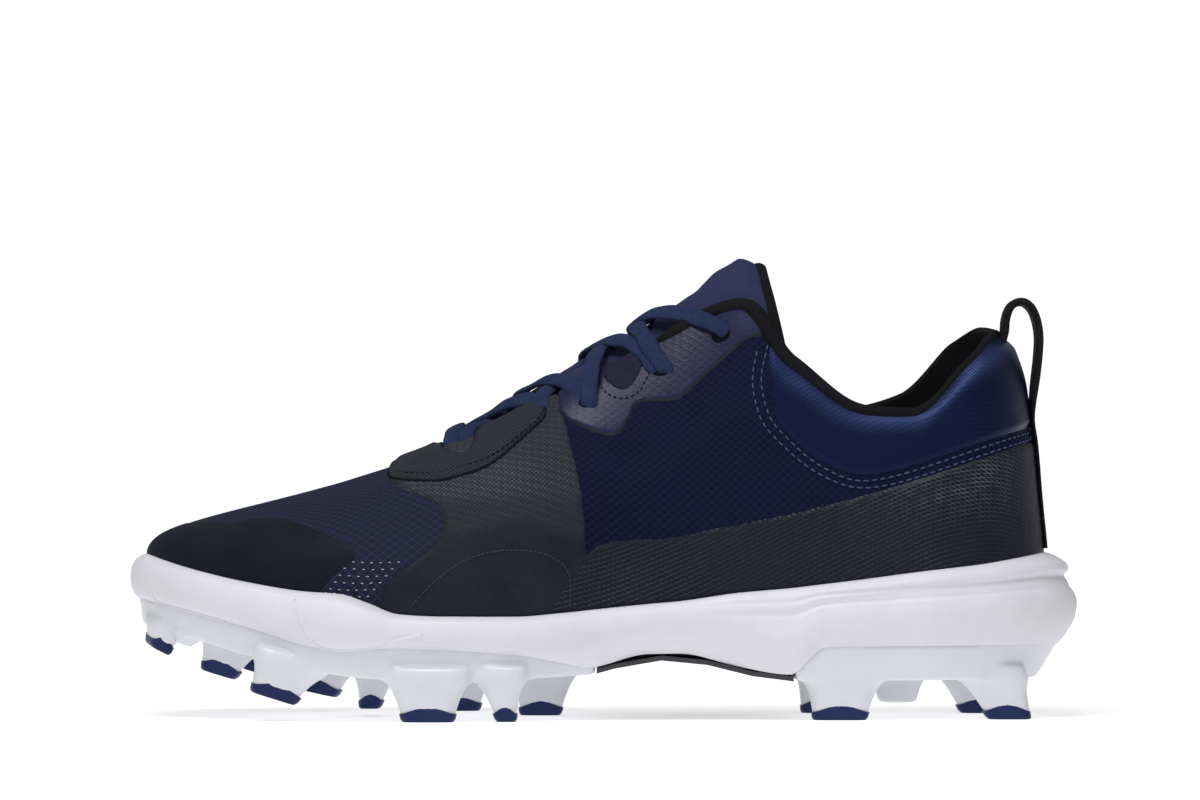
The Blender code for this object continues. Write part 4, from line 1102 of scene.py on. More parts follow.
def rand_material():
    def diamonds(tree):
        return use_group(tree, GRID, Place=weave_place(tree), Spacing=1.35, Width=0.27, Turn=1.10,
                         Opening=0.94)["Line"]

    def colour(tree):
        line = diamonds(tree)
        patch = mottle(tree, 40.0)
        base = blend_colour(tree, patch, (0.0020, 0.0030, 0.0105), (0.0042, 0.0055, 0.0150))
        lined = blend_colour(tree, times(tree, line, 0.6), base, (0.015, 0.018, 0.038))
        # Painted glints: bright spots where the diamond lines cross, only on the rear of the rand where the
        # rear mask lies; painted highlights off the ridges.
        glint_spots = times(tree, compute(tree, "POWER", line, 4.0), mottle(tree, 260.0))
        glint = times(tree, times(tree, glint_spots, attribute(tree, "rear")), 0.8)
        return blend_colour(tree, glint, lined, (0.22, 0.23, 0.26))

    def normal(tree):
        return add_bump(tree, diamonds(tree), 0.8, 0.0004)

    return new_material("textured_rubber", colour, 0.42, normal, Specular_IOR_Level=0.20)


def moulded_material(name, low, high, roughness, grain, **constants):
    def colour(tree):
        return blend_colour(tree, mottle(tree, 25.0), low, high)

    def rough(tree):
        return compute(tree, "MULTIPLY_ADD", mottle(tree, 140.0), 0.10, roughness)

    def normal(tree):
        where = add_node(tree, "ShaderNodeTexCoord").outputs["Object"]
        noise = add_node(tree, "ShaderNodeTexNoise", {"Vector": where, "Scale": 900.0, "Detail": 2.0})
        return add_bump(tree, noise.outputs["Fac"], grain, 0.0001)

    return new_material(name, colour, rough, normal, **constants)


MATERIALS = {
    "ripstop": ripstop_material(),
    "toe_film": film_material("dark_film", (0.0045, 0.0058, 0.0125), (0.0075, 0.0090, 0.0170),
                              0.55, 0.10, 0.10),
    "saddle": saddle_material(),
    "loop_mesh": padded_material(),
    "stay_film": stay_film_material(),
    "notch_mesh": mesh_material("notch_mesh", (0.003, 0.003, 0.009), (0.030, 0.028, 0.072), 1.3, 0.0004, 0.7),
    "satin": satin_material(),
    "rand": rand_material(),
    "tongue": mesh_material("tongue_cloth", (0.018, 0.022, 0.062), (0.028, 0.033, 0.088), 0.5, 0.0001, 0.6),
    "binding": mesh_material("black_webbing", (0.002, 0.002, 0.003), (0.014, 0.014, 0.018), 0.9, 0.0004, 0.85),
    "webbing": mesh_material("tape", (0.004, 0.004, 0.005), (0.018, 0.017, 0.019), 0.7, 0.0002, 0.7),
    "lining": mesh_material("lining", (0.003, 0.003, 0.004), (0.017, 0.015, 0.018), 1.1, 0.0003, 0.9),
    "lace": mesh_material("lace_cloth", (0.003, 0.006, 0.026), (0.036, 0.058, 0.145), 0.95, 0.0005, 0.75),
    "insole": mesh_material("insole_cloth", (0.010, 0.010, 0.012), (0.026, 0.026, 0.030), 1.0, 0.0002, 0.9),
    "thread": mesh_material("thread", (0.035, 0.045, 0.105), (0.085, 0.105, 0.210), 0.3, 0.0001, 0.6),
    "dark_thread": mesh_material("dark_thread", (0.003, 0.003, 0.006),
                                 (0.009, 0.009, 0.016), 0.3, 0.0001, 0.7),
    "seam_thread": mesh_material("seam_thread", (0.026, 0.029, 0.040),
                                 (0.062, 0.067, 0.082), 0.3, 0.0001, 0.7),
    "dots": mesh_material("pale_dots", (0.30, 0.31, 0.33), (0.50, 0.51, 0.53), 0.3, 0.0001, 0.5),
    "hole": mesh_material("eyelet_shadow", (0.001, 0.001, 0.003), (0.003, 0.003, 0.007), 0.8, 0.0001, 0.9),
    "foam": moulded_material("white_foam", (0.645, 0.640, 0.685), (0.680, 0.675, 0.720), 0.5, 0.10),
    "plate": moulded_material("white_plastic", (0.630, 0.640, 0.690), (0.665, 0.675, 0.725), 0.34, 0.05,
                              Coat_Weight=0.1),
    "arch": moulded_material("black_plastic", (0.008, 0.009, 0.013), (0.013, 0.014, 0.020), 0.35, 0.08),
    "tip": moulded_material("blue_plastic", (0.006, 0.015, 0.070), (0.010, 0.023, 0.095), 0.30, 0.05,
                            Specular_IOR_Level=0.18),
}


# Camera, floor and light

def make_camera():
    data = bpy.data.cameras.new("camera")
    data.lens = CAMERA_LENS
    camera = bpy.data.objects.new("camera", data)
    bpy.context.scene.collection.objects.link(camera)
    camera.location = CAMERA_PLACE
    camera.rotation_euler = (CAMERA_AIM - CAMERA_PLACE).to_track_quat("-Z", "Y").to_euler()
    bpy.context.scene.camera = camera


def make_light(name, place, aim, size, power):
    data = bpy.data.lights.new(name, "AREA")
    data.size = size
    data.energy = power
    light = bpy.data.objects.new(name, data)
    bpy.context.scene.collection.objects.link(light)
    light.location = place
    light.rotation_euler = (Vector(aim) - Vector(place)).to_track_quat("-Z", "Y").to_euler()


def make_floor_material():
    material = moulded_material("studio_floor", (0.58, 0.58, 0.58), (0.60, 0.60, 0.60), 0.8, 0.0,
                                Emission_Strength=1.0)
    tree = material.node_tree
    where = add_node(tree, "ShaderNodeTexCoord").outputs["Object"]
    reach = add_node(tree, "ShaderNodeVectorMath", {0: where}, operation="LENGTH").outputs["Value"]
    glow = blend_colour(tree, span_mask(tree, reach, 0.25, 1.1), (0.60, 0.60, 0.60), (0.98, 0.98, 0.98))
    tree.links.new(glow, tree.nodes["Principled BSDF"].inputs["Emission Color"])
    return material


def make_stage():
    size = 6.0
    mesh = bpy.data.meshes.new("floor")
    corners = ((-size, -size, 0), (size, -size, 0), (size, size, 0), (-size, size, 0))
    mesh.from_pydata(corners, [], [(0, 1, 2, 3)])
    mesh.materials.append(make_floor_material())
    floor = bpy.data.objects.new("floor", mesh)
    bpy.context.scene.collection.objects.link(floor)
    world = bpy.data.worlds.new("studio")
    world.use_nodes = True
    tree = world.node_tree
    seen = add_node(tree, "ShaderNodeLightPath").outputs["Is Camera Ray"]
    shown = tree.nodes["Background"].inputs
    tree.links.new(compute(tree, "MULTIPLY_ADD", seen, 0.75, 0.30), shown["Strength"])
    shown["Color"].default_value = (1.0, 1.0, 1.0, 1.0)
    bpy.context.scene.world = world
    bpy.context.scene.view_settings.view_transform = "Standard"
    make_light("overhead", (-0.15, -0.45, 1.15), (0.0, 0.0, 0.05), 0.6, 10.5)
    make_light("front", (-0.9, -1.5, 0.7), (0.0, 0.0, 0.06), 0.8, 1.6)
    make_light("low_fill", (0.1, -1.7, 0.22), (0.0, 0.0, 0.03), 1.2, 2.4)


# Upper and its panels

def make_upper():
    columns, rows = 480, 76
    us = np.arange(columns) * 2 / columns
    vs = np.linspace(0.0, 1.0, rows)
    u, v = np.meshgrid(us, vs, indexing="ij")
    face = rib_points(u, v)
    points = upper_points(u, v)
    foot = outline_points(us)
    foot[:, 2] = footbed_z(foot[:, 0]) + SOLE_FIT
    points = np.concatenate((foot[:, None], points), axis=1)
    face = np.concatenate((foot[:, None], face), axis=1)
    faces = grid_faces(columns, rows + 1, wrap=True)
    # Vamp mask: a wider ripstop grid, and a lighter colour that is partly painted light on the upward-facing
    # vamp.
    vamp = ease(-18 * MM, -42 * MM, face[..., 0])
    piece = make_piece("upper_shell", points.reshape(-1, 3), faces,
                       [MATERIALS["ripstop"], MATERIALS["lining"]], place=girth_place(face),
                       values={"vamp": vamp})
    wall = add_solidify(piece, UPPER_WALL)
    wall.material_offset = 1
    wall.material_offset_rim = 1
    finish_piece(piece, ["upper"])


def ramp(distance, width):
    """0 outside an edge, 1 inside it, over a width in millimetres."""
    return ease(-width / 2, width / 2, distance)


def make_toe_film():
    def profile(distance, u, v, face):
        return mix(-0.35 * MM, 0.25 * MM, ramp(distance, 3.0)) + 0.3 * MM * ease(0, 9, distance)

    piece = panel("toe_film", TOE_FILM_OUTLINE, (0.62, 1.38), 0.0, 0.93, 0.95, profile, MATERIALS["toe_film"])
    finish_piece(piece, ["toe_cap"])


def make_saddles():
    def profile(distance, u, v, face):
        return mix(-0.4 * MM, FILM_THICKNESS * 0.75, ramp(distance, 1.2))

    def masks(distance, u, v, face):
        x, z = face[..., 0] / MM, face[..., 2] / MM
        arc = 47.5 + 14 * np.exp(-((x + 26) / 24) ** 2)
        film = ease(2.5, -2.5, z - arc)
        # Where the saddle's mesh gets painted sheen: a streak below the loop panel, and a weaker one along its
        # front edge.
        streak = ease(66, 72, z) * ease(-66, -58, x) * (1 - 0.5 * ease(76, 86, z)) * (1 - film)
        streak *= 1 - 0.6 * ease(-40, -12, x)
        edge = ease(-52, -44, x + (z - 60) * 0.3) * ease(56, 60, z)
        return {"film": film, "streak": np.clip(streak + 0.25 * edge, 0, 1)}

    for word, span in (("lateral", (0.42, 0.76)), ("medial", (1.24, 1.58))):
        piece = panel("saddle_panel_" + word, SADDLE_OUTLINE, span, 0.0, 1.0, 0.8, profile,
                      MATERIALS["saddle"], extra=masks)
        finish_piece(piece, ["saddle_" + word])


def make_loop_panel():
    def profile(distance, u, v, face):
        return mix(-0.4 * MM, EYESTAY_THICKNESS * 0.62, ramp(distance, 1.0)) \
            + EYESTAY_THICKNESS * 0.38 * ease(0.6, 4.5, distance)

    piece = panel("eyestay_loops", LOOP_PANEL_OUTLINE, (0.44, 1.56), 0.42, 1.0, 0.8, profile,
                  MATERIALS["loop_mesh"])
    finish_piece(piece, ["eyestay_front"])


def make_stay_films():
    def profile(distance, u, v, face):
        ribs = 0.035 * MM * np.sin(face[..., 0] / MM * 2 * math.pi / 2.5) * ease(1.0, 2.5, distance)
        return mix(-0.4 * MM, FILM_THICKNESS * 0.85, ramp(distance, 0.9)) + ribs

    def masks(distance, u, v, face):
        x, z = face[..., 0] / MM, face[..., 2] / MM
        # Two paler patches of the film's colour, by the notch's lower edge and at its top.
        low = np.exp(-((x - 3) / 9) ** 2 - ((z - 93) / 5) ** 2)
        top = np.exp(-((x - 46) / 7) ** 2 - ((z - 125) / 7) ** 2)
        return {"worn": np.clip(low + top, 0, 1)}

    for word, span in (("lateral", (0.33, 0.58)), ("medial", (1.42, 1.67))):
        piece = panel("stay_film_" + word, STAY_FILM_OUTLINE, span, 0.42, 1.0, 0.6, profile,
                      MATERIALS["stay_film"], extra=masks)
        finish_piece(piece, ["eyestay_film_" + word])


def make_rand():
    def profile(distance, u, v, face):
        return mix(-0.4 * MM, RAND_THICKNESS * 0.7, ramp(distance, 1.9))

    def masks(distance, u, v, face):
        x, z = face[..., 0] / MM, face[..., 2] / MM
        # Rear mask: where the rand gets its painted glints.
        return {"rear": ease(60, 110, x) * ease(56, 74, z) * (1 - ease(118, 134, x))}

    piece = panel("heel_rand_skin", RAND_OUTLINE, (1.44, 2.56), 0.0, 0.80, 0.80, profile, MATERIALS["rand"],
                  extra=masks)
    finish_piece(piece, ["heel_rand"])


def pad_height(distance, v):
    puff = np.sin(math.pi * ease(0.0, 1.0, np.clip(distance / 26, 0, 1)) * 0.5)
    close = 1 - ease(0.84, 1.0, v)
    edge = mix(PAD_EDGE, 0.2 * MM, ease(0.84, 1.0, v))
    return mix(-0.4 * MM, edge, ramp(distance, 1.6)) + PAD_PUFF * puff * close


def make_collar_pad():
    def masks(distance, u, v, face):
        x = face[..., 0] / MM
        # Painted highlight along the crown of the pad, strongest about x = 92 mm.
        return {"crown": np.exp(-((v - 0.885) / 0.055) ** 2) * (0.55 + 0.45 * np.exp(-((x - 92) / 26) ** 2))}

    piece = panel("collar_cushion", PAD_OUTLINE, (1.56, 2.44), 0.40, 1.0, 0.85,
                  lambda distance, u, v, face: pad_height(distance, v), MATERIALS["satin"], extra=masks)
    finish_piece(piece, ["collar_pad"])


# Edge binding, tongue, laces and pull loop

def make_edge_binding():
    """Knit binding rolled over the edge of the collar and of the rear throat."""
    us = np.concatenate((np.linspace(0.0, 0.30, 90, endpoint=False), np.linspace(0.30, 1.70, 420),
                         np.linspace(1.70, 2.0, 90, endpoint=False)[1:]))
    edge = np.ones_like(us)
    angle, side = turn_of(us)
    share = (1 - np.cos(angle)) / 2
    collar = ease(0.09, 0.19, share)
    throat = np.where(side < 0, ease(0.405, 0.46, share), ease(0.60, 0.68, share))
    radius = mix(mix(1.2 * MM, 2.1 * MM, collar), 0.7 * MM, throat)
    normals = upper_normals(us, edge)
    down = unit(rib_points(us, 0.985) - rib_points(us, 1.0))
    route = upper_points(us, edge, -0.2 * MM) + down * (radius * 0.8)[:, None]
    piece = sweep("edge_binding", route, normals, radius * 2.1, radius * 2.0, round_section(16),
                  MATERIALS["binding"], closed=True)
    finish_piece(piece)


def tongue_grid():
    shares = np.linspace(TONGUE_ROWS[0][0], TONGUE_ROWS[-1][0], 150)
    under = -(UPPER_WALL + TONGUE_FIT)
    sections = []
    for share in shares:
        wing = float(TONGUE["wing"](share))
        lateral, medial = place_at(share, -1), place_at(share, 1)
        low = upper_points(np.array([lateral] * 2), np.array([wing, 1.0]), under)
        high = upper_points(np.array([medial] * 2), np.array([1.0, wing]), under)
        chord = high[0] - low[1]
        lift = np.array((-float(TONGUE["lean"](share)), 0.0, float(TONGUE["crest"](share)))) * INSTEP_HEIGHT
        lift[2] += TONGUE_PUFF * ease(0.345, 0.42, share) * (1 - ease(0.64, 0.685, share))
        line = [low[0], low[1]]
        for across in (0.2, 0.4, 0.6, 0.8):
            line.append(low[1] + chord * across + lift * 4 * across * (1 - across))
        line += [high[0], high[1]]
        sections.append(fixed_count(smooth_line(line, 8)))
    return shares, np.array(sections)


def fixed_count(line):
    steps = np.linalg.norm(np.diff(line, axis=0), axis=1)
    reached = np.concatenate(([0.0], np.cumsum(steps)))
    at = np.linspace(0, reached[-1], TONGUE_STEPS)
    return np.stack([np.interp(at, reached, line[:, i]) for i in range(3)], axis=1)


def make_tongue():
    shares, outer = tongue_grid()
    along = np.gradient(outer, axis=0)
    across = np.gradient(outer, axis=1)
    normal = unit(np.cross(along, across))
    normal = np.where(normal[..., 2:3] < 0, -normal, normal)
    inner = outer - normal * TONGUE_THICKNESS
    rows, steps = outer.shape[:2]
    edge = np.linspace(-1, 1, steps)[None, :] ** 6
    top = np.exp(-((shares - shares[0]) / 0.006) ** 2)[:, None]
    thin = 1 - 0.55 * np.maximum(edge, top)
    middle = (outer + inner) / 2
    outer = middle + normal * (TONGUE_THICKNESS / 2 * thin)[..., None]
    inner = middle - normal * (TONGUE_THICKNESS / 2 * thin)[..., None]
    points = np.concatenate((outer.reshape(-1, 3), inner.reshape(-1, 3)))
    half = rows * steps
    faces = grid_faces(rows, steps)
    faces += [tuple(half + i for i in reversed(face)) for face in grid_faces(rows, steps)]
    for i in range(rows - 1):
        for j in (0, steps - 1):
            a, b = i * steps + j, (i + 1) * steps + j
            faces.append((a, b, half + b, half + a) if j == 0 else (b, a, half + a, half + b))
    for j in range(steps - 1):
        for i in (0, rows - 1):
            a, b = i * steps + j, i * steps + j + 1
            faces.append((b, a, half + a, half + b) if i == 0 else (a, b, half + b, half + a))
    place = np.stack(np.meshgrid(np.arange(rows) * 0.95, np.arange(steps) * 1.6, indexing="ij"), axis=-1)
    place = np.tile(place.reshape(-1, 2), (2, 1))
    piece = make_piece("tongue_pad", points, faces, [MATERIALS["tongue"]], place=place, sharp=60)
    face_outward(piece)
    finish_piece(piece, ["tongue"])
    centre = (outer + inner) / 2
    bound = TONGUE_BOUND_ROWS
    route = np.concatenate((centre[bound:0:-1, 0], centre[0], centre[1:bound + 1, -1]))
    route = route + np.array((-0.5, 0.0, 0.9)) * MM
    face_normals = np.concatenate((normal[bound:0:-1, 0], normal[0], normal[1:bound + 1, -1]))
    both = resample(np.concatenate((route, face_normals * 0.1 * MM), axis=1), 1.2 * MM)
    binding = sweep("tongue_binding", both[:, :3], unit(both[:, 3:]), 5.2 * MM, 4.6 * MM, round_section(14),
                    MATERIALS["binding"])
    finish_piece(binding)


def make_laces():
    for name, node, route in LACES:
        line = resample(smooth_line(route, 10) * MM, 0.6 * MM)
        lean = np.full(len(line), -LACE_LEAN)
        roll = (line[:, 1] - THROAT_TURN) / THROAT_ROUND
        normals = unit(np.stack((lean, roll, np.ones(len(line))), axis=1))
        reached = np.arange(len(line)) * 0.6 * MM
        end = np.minimum(reached, reached[-1] - reached)
        ripple = 1 + 0.05 * np.sin(reached / MM * 0.55)
        width = LACE_WIDTH * (0.62 + 0.38 * ease(0.5 * MM, 6 * MM, end)) * ripple
        piece = sweep(name, line, normals, width, LACE_THICKNESS, round_section(20, 2.5),
                      MATERIALS["lace"])
        finish_piece(piece, [node] if node else ())


def make_pull_loop():
    heights = np.array(LOOP_DOWN)
    places = np.zeros(len(heights))
    skin = RAND_THICKNESS + PAD_PUFF * 0.7 * ease(90 * MM, 108 * MM, rib_points(places, heights)[:, 2])
    down = upper_points(places, heights, skin)
    loop = np.array([(x, 0.0, z) for x, z in LOOP_ROUTE]) * MM
    line = resample(smooth_line(np.concatenate((loop, down)), 8), 0.9 * MM)
    faces_out = unit(np.cross(np.gradient(line, axis=0), np.array((0.0, 1.0, 0.0))))
    thickness = mix(TAPE_THICKNESS, LOOP_THICKNESS, ease(92 * MM, 108 * MM, line[:, 2]))
    piece = sweep("pull_loop_webbing", line, faces_out, LOOP_WIDTH, thickness, round_section(24, 4.0),
                  MATERIALS["webbing"])
    finish_piece(piece, ["pull_loop"])


# Stitches, pinholes and eyelets

def make_stitches():
    pad_inner = (
        (52.0, 117), (50.0, 108.5), (50.0, 102), (52.6, 93.5), (57.5, 87.6), (65, 80.8), (73.4, 76.0),
        (81, 74.2), (92, 75.9), (108, 80.9), (125, 86.7), (136, 90.0),
    )
    pad_outer = (
        (48.6, 115), (47.2, 108.0), (47.4, 101), (50.0, 92.5), (55.4, 86.0), (63.6, 78.8), (72.8, 73.8),
        (81, 72.0), (92, 73.6), (108, 78.6), (125, 84.4), (136, 87.8),
    )
    arc = (
        (-58.5, 35.5), (-51.5, 43.0), (-42, 49.6), (-32, 52.4), (-22, 52.4), (-14.5, 50.0), (-10.2, 45.0),
        (-9.8, 35),
    )
    notch = ((-2.6, 116), (-1.4, 107), (1.6, 101.4), (6.8, 99.6), (11.6, 101.8), (14.6, 107), (17, 113.5))
    loops = (
        (-64.5, 76.0), (-58, 75.2), (-51, 75.6), (-43, 77.6), (-36, 79.8), (-30, 83.4), (-25, 87.6),
        (-19.5, 92.2), (-17.3, 96.0),
    )
    rows = (
        ("pad_stitch_inner", pad_inner, 0.25, (1.7, 0.55, 0.45), 0.9, "thread"),
        ("pad_stitch_outer", pad_outer, 0.25, (1.7, 0.55, 0.45), 0.9, "thread"),
        ("arc_seam", arc, 0.8, (1.2, 0.4, 0.35), 0.3, "seam_thread"),
        ("notch_stitch", notch, 1.0, (1.2, 0.4, 0.35), 0.7, "dark_thread"),
        ("loop_stitch", loops, 1.9, (1.3, 0.5, 0.4), 0.6, "dark_thread"),
    )
    for name, line, height, size, gap, finish in rows:
        for word, side in (("lateral", -1), ("medial", 1)):
            points, normals = line_on_upper(line, side, height * MM)
            piece = stitch_row(f"{name}_{word}", points, normals, [part * MM for part in size], gap * MM,
                               MATERIALS[finish])
            finish_piece(piece)


def make_pinholes():
    """Six rows of pale pinhole dashes between the toe film and the saddle."""
    for word, side in (("lateral", -1), ("medial", 1)):
        marks = []
        for row in range(6):
            start = -80.5 - max(0, row - 1) * 1.4
            end = -61.0 - row * 1.9
            z = 49.4 - row * 2.1
            line = ((start, z), ((start + end) / 2, z - 0.5), (end, z - 0.2))
            points, normals = line_on_upper(line, side, 0.1 * MM, steps=6)
            marks.append(stitch_row(f"pinholes_{word}_{row}", points, normals,
                                    (0.80 * MM, 0.34 * MM, 0.3 * MM), 1.75 * MM, MATERIALS["dots"]))
        piece = join_pieces("pinholes_" + word, marks)
        finish_piece(piece)


def make_notches():
    """Dark mesh that shows in the notch of each eyestay film."""
    outline = (
        (-0.6, 122), (0.2, 108), (3.2, 103.6), (6.8, 102.2), (10.0, 104.2), (12.4, 108.4), (15.0, 116),
        (8, 126),
    )
    for word, span in (("lateral", (0.40, 0.50)), ("medial", (1.50, 1.60))):
        piece = panel("notch_mesh_" + word, outline, span, 0.66, 1.0, 0.5,
                      lambda distance, u, v, face: mix(-0.2 * MM, 1.15 * MM, ramp(distance, 1.0)),
                      MATERIALS["notch_mesh"])
        finish_piece(piece)


def make_eyelet_holes():
    """Dark discs over the punched holes that the laces go down into: painted shade inside the holes."""
    sides = 24
    ring = round_section(sides)
    verts, faces = [], []
    for share, up in EYELETS:
        for side in (-1, 1):
            place = np.array([place_at(share, side)])
            centre = upper_points(place, np.array([up]), 0.95 * MM)[0]
            normal = upper_normals(place, np.array([up]))[0]
            along = unit(np.cross(normal, (0.0, 1.0, 0.3)))
            cross = np.cross(normal, along)
            base = len(verts)
            for grow, lift in ((2.2, -0.3), (2.2, 0.10), (1.8, 0.14)):
                for a, b in ring:
                    verts.append(centre + (along * a * grow * 1.4 + cross * b * grow + normal * lift) * MM)
            for k in range(2):
                for i in range(sides):
                    after = (i + 1) % sides
                    a = base + k * sides
                    faces.append((a + i, a + after, a + sides + after, a + sides + i))
            faces.append(tuple(base + 2 * sides + i for i in range(sides)))
            faces.append(tuple(base + i for i in reversed(range(sides))))
    piece = make_piece("eyelet_holes", verts, faces, [MATERIALS["hole"]], sharp=50)
    finish_piece(piece)


# Sole

def flare_at(u, x):
    normal = outline_normals(u)
    end = np.where(normal[..., 0] > 0, HEEL_FLARE, TOE_FLARE)
    flare = mix(SIDE_FLARE, end, np.abs(normal[..., 0]) ** 3)
    apart = np.abs(share_at(x) - OUTRIGGER_PLACE) / OUTRIGGER_HALF
    return flare + np.where(normal[..., 1] < 0, OUTRIGGER_FLARE * (1 - ease(0, 1, apart)), 0.0)


def side_offset(u, height):
    x = outline_points(u)[..., 0]
    share = share_at(x)
    rear = 1 - ease(REAR_SIDE_FULL, REAR_SIDE_START, share)
    shape = mix(SIDE["front"](height), SIDE["rear"](height), rear)
    waist = ease(0.26, 0.36, share) * (1 - ease(0.46, 0.60, share))
    return flare_at(u, x) * shape - WAIST_TUCK * waist * (1 - height) ** 2


def beside(u, offset, height):
    """Points beside the last's outline; height is a function of x."""
    points = outline_points(u) + outline_normals(u) * np.asarray(offset)[..., None]
    points[..., 2] = height(points[..., 0])
    return points


# Grooves in the midsole's side: depth in millimetres, half width as a share of
# the side's height, and the height where it runs at the waist and at the heel
SIDE_GROOVES = (
    (0.75, 0.035, 0.86, 0.76),
    (0.45, 0.030, 0.70, 0.62),
)


def groove_depth(u, height):
    share = share_at(outline_points(u)[..., 0])
    fade = 1 - ease(0.22, 0.46, share)
    total = np.zeros_like(height + share)
    for depth, half, waist, heel in SIDE_GROOVES:
        middle = mix(heel, waist, ease(0.0, 0.4, share))
        total += depth * MM * np.exp(-((height - middle) / half) ** 2) * fade
    return total


def ring_faces(columns, rows):
    """Quads round a loop of columns, with strips across its first and last rows."""
    faces = [tuple(reversed(face)) for face in grid_faces(columns, rows, wrap=True)]
    for i in range(columns // 2):
        a, b = i, i + 1
        c, d = (columns - b) % columns, (columns - i) % columns
        for j in (0, rows - 1):
            corner = [k * rows + j for k in (a, b, c, d)]
            face = [point for n, point in enumerate(corner) if point not in corner[:n]]
            if len(face) >= 3:
                faces.append(tuple(face if j == 0 else reversed(face)))
    return faces


def midsole_points(u, level, offset):
    points = outline_points(u) + outline_normals(u) * offset[..., None]
    x = points[..., 0]
    points[..., 2] = mix(plate_top_z(x) + SOLE_FIT, feather_z(x), level)
    return points


def make_midsole():
    columns = 420
    us = np.arange(columns) * 2 / columns
    levels = np.concatenate((np.linspace(0.0, 0.96, 56), (0.985,)))
    u, level = np.meshgrid(us, levels, indexing="ij")
    offset = np.where(level <= 0.96, side_offset(u, level), side_offset(u, 0.96) * 0.55)
    points = midsole_points(u, level, offset - groove_depth(u, level))
    rim = beside(us, np.full(columns, SOLE_FIT), feather_z)
    bed = beside(us, np.full(columns, SOLE_FIT), footbed_z)
    points = np.concatenate((points, rim[:, None], bed[:, None]), axis=1)
    faces = ring_faces(columns, points.shape[1])
    piece = make_piece("midsole_foam", points.reshape(-1, 3), faces, [MATERIALS["foam"]], sharp=70)
    face_outward(piece)
    finish_piece(piece, ["midsole"])


# Fine moulding lines of the midsole seen from the side, x and z in millimetres
MOULD_LINES = (
    ("toe_mould_line", ((-141, 38.2), (-137, 35.2), (-130, 32.6), (-122, 30.6), (-116, 29.6))),
    ("outrigger_mould_line", (
        (-94.5, 38.0), (-92.8, 32.6), (-90.0, 26.6), (-86.0, 22.8), (-80.0, 21.2), (-70.0, 22.4),
        (-62.5, 25.4), (-54.0, 27.0))),
)


def make_mould_lines():
    u, level = np.meshgrid(np.linspace(0.3, 1.0, 301), np.linspace(0.0, 0.95, 61), indexing="ij")
    places = midsole_points(u, level, side_offset(u, level)).reshape(-1, 3)
    for name, outline in MOULD_LINES:
        line = smooth_line(outline, 8) * MM
        nearest = [np.argmin((places[:, 0] - x) ** 2 + (places[:, 2] - z) ** 2) for x, z in line]
        at_u, at_level = u.ravel()[nearest], level.ravel()[nearest]
        for _ in range(2):
            at_u = np.convolve(np.pad(at_u, 2, mode="edge"), np.ones(5) / 5, mode="valid")
            at_level = np.convolve(np.pad(at_level, 2, mode="edge"), np.ones(5) / 5, mode="valid")
        route = resample(midsole_points(at_u, at_level, side_offset(at_u, at_level)), 0.8 * MM)
        normals = np.tile((0.0, -1.0, 0.0), (len(route), 1))
        piece = sweep(name, route, normals, 0.9 * MM, 0.6 * MM, round_section(10), MATERIALS["foam"])
        finish_piece(piece)


def stud_ring(stud, grow, shift, height, peak):
    turn = math.radians(stud["turn"])
    slope = math.tan(math.radians(stud["tilt"]))
    section = round_section(STUD_SIDES, STUD_SQUARE)
    dx = section[:, 0] * (stud["length"] * STUD_HEIGHT / 2 + grow)
    dy = section[:, 1] * (stud["width"] * STUD_HEIGHT / 2 + grow * 0.5)
    forward = dx * math.cos(turn) - dy * math.sin(turn)
    x = x_at(stud["share"]) + shift + forward
    y = stud["across"] * BALL_WIDTH + dx * math.sin(turn) + dy * math.cos(turn)
    z = height + peak * np.cos(np.clip(section[:, 0], -1, 1) * math.pi / 2) ** 1.4 - forward * slope
    return np.stack((x, y, z), axis=1)


def stud_faces(rings, base=0):
    faces = []
    count = STUD_SIDES
    for k in range(rings - 1):
        for i in range(count):
            after = (i + 1) % count
            a = base + k * count
            faces.append((a + i, a + after, a + count + after, a + count + i))
    faces.append(tuple(base + i for i in reversed(range(count))))
    faces.append(tuple(base + (rings - 1) * count + i for i in range(count)))
    return faces


def stud_body(row, tipped=True):
    """Rings of a stud's white body from its tip up into the plate."""
    stud = dict(zip(STUD_COLUMNS, row))
    floor = stud["floor"] * STUD_HEIGHT
    lean = stud["lean"] * STUD_HEIGHT
    spread = stud["spread"] * STUD_HEIGHT / 2
    plate_low = float(underside_z(x_at(stud["share"]) + lean))
    start = 0.9 * MM if tipped else 0.0
    rings = []
    for t in (0.0, 0.12, 0.25, 0.4, 0.55, 0.7, 0.82, 0.92, 1.0, 1.12, 1.35):
        grow = spread * (0.72 * min(t, 1.0) + 0.55 * min(t, 1.0) ** 4)
        height = mix(floor + start, plate_low, t)
        peak = 0.0 if not tipped else 0.4 * MM * (1 - t)
        rings.append(stud_ring(stud, grow - (0.15 * MM if t < 0.2 and tipped else 0), lean * t, height, peak))
    return np.concatenate(rings), len(rings)


def plate_points(us, thickness):
    levels = np.linspace(0.0, 1.0, 9)
    u, level = np.meshgrid(us, levels, indexing="ij")
    tuck = np.interp(level, (0.0, 0.35, 0.7, 1.0), (1.0, 0.62, 0.30, 0.0))
    behind = np.clip(outline_normals(u)[..., 0], 0.0, 1.0) ** 2
    offset = side_offset(u, 0.0) - mix(PLATE_TUCK, HEEL_PLATE_TUCK, behind) * tuck
    points = outline_points(u) + outline_normals(u) * offset[..., None]
    x = points[..., 0]
    points[..., 2] = underside_z(x) + thickness(x) * level
    return points


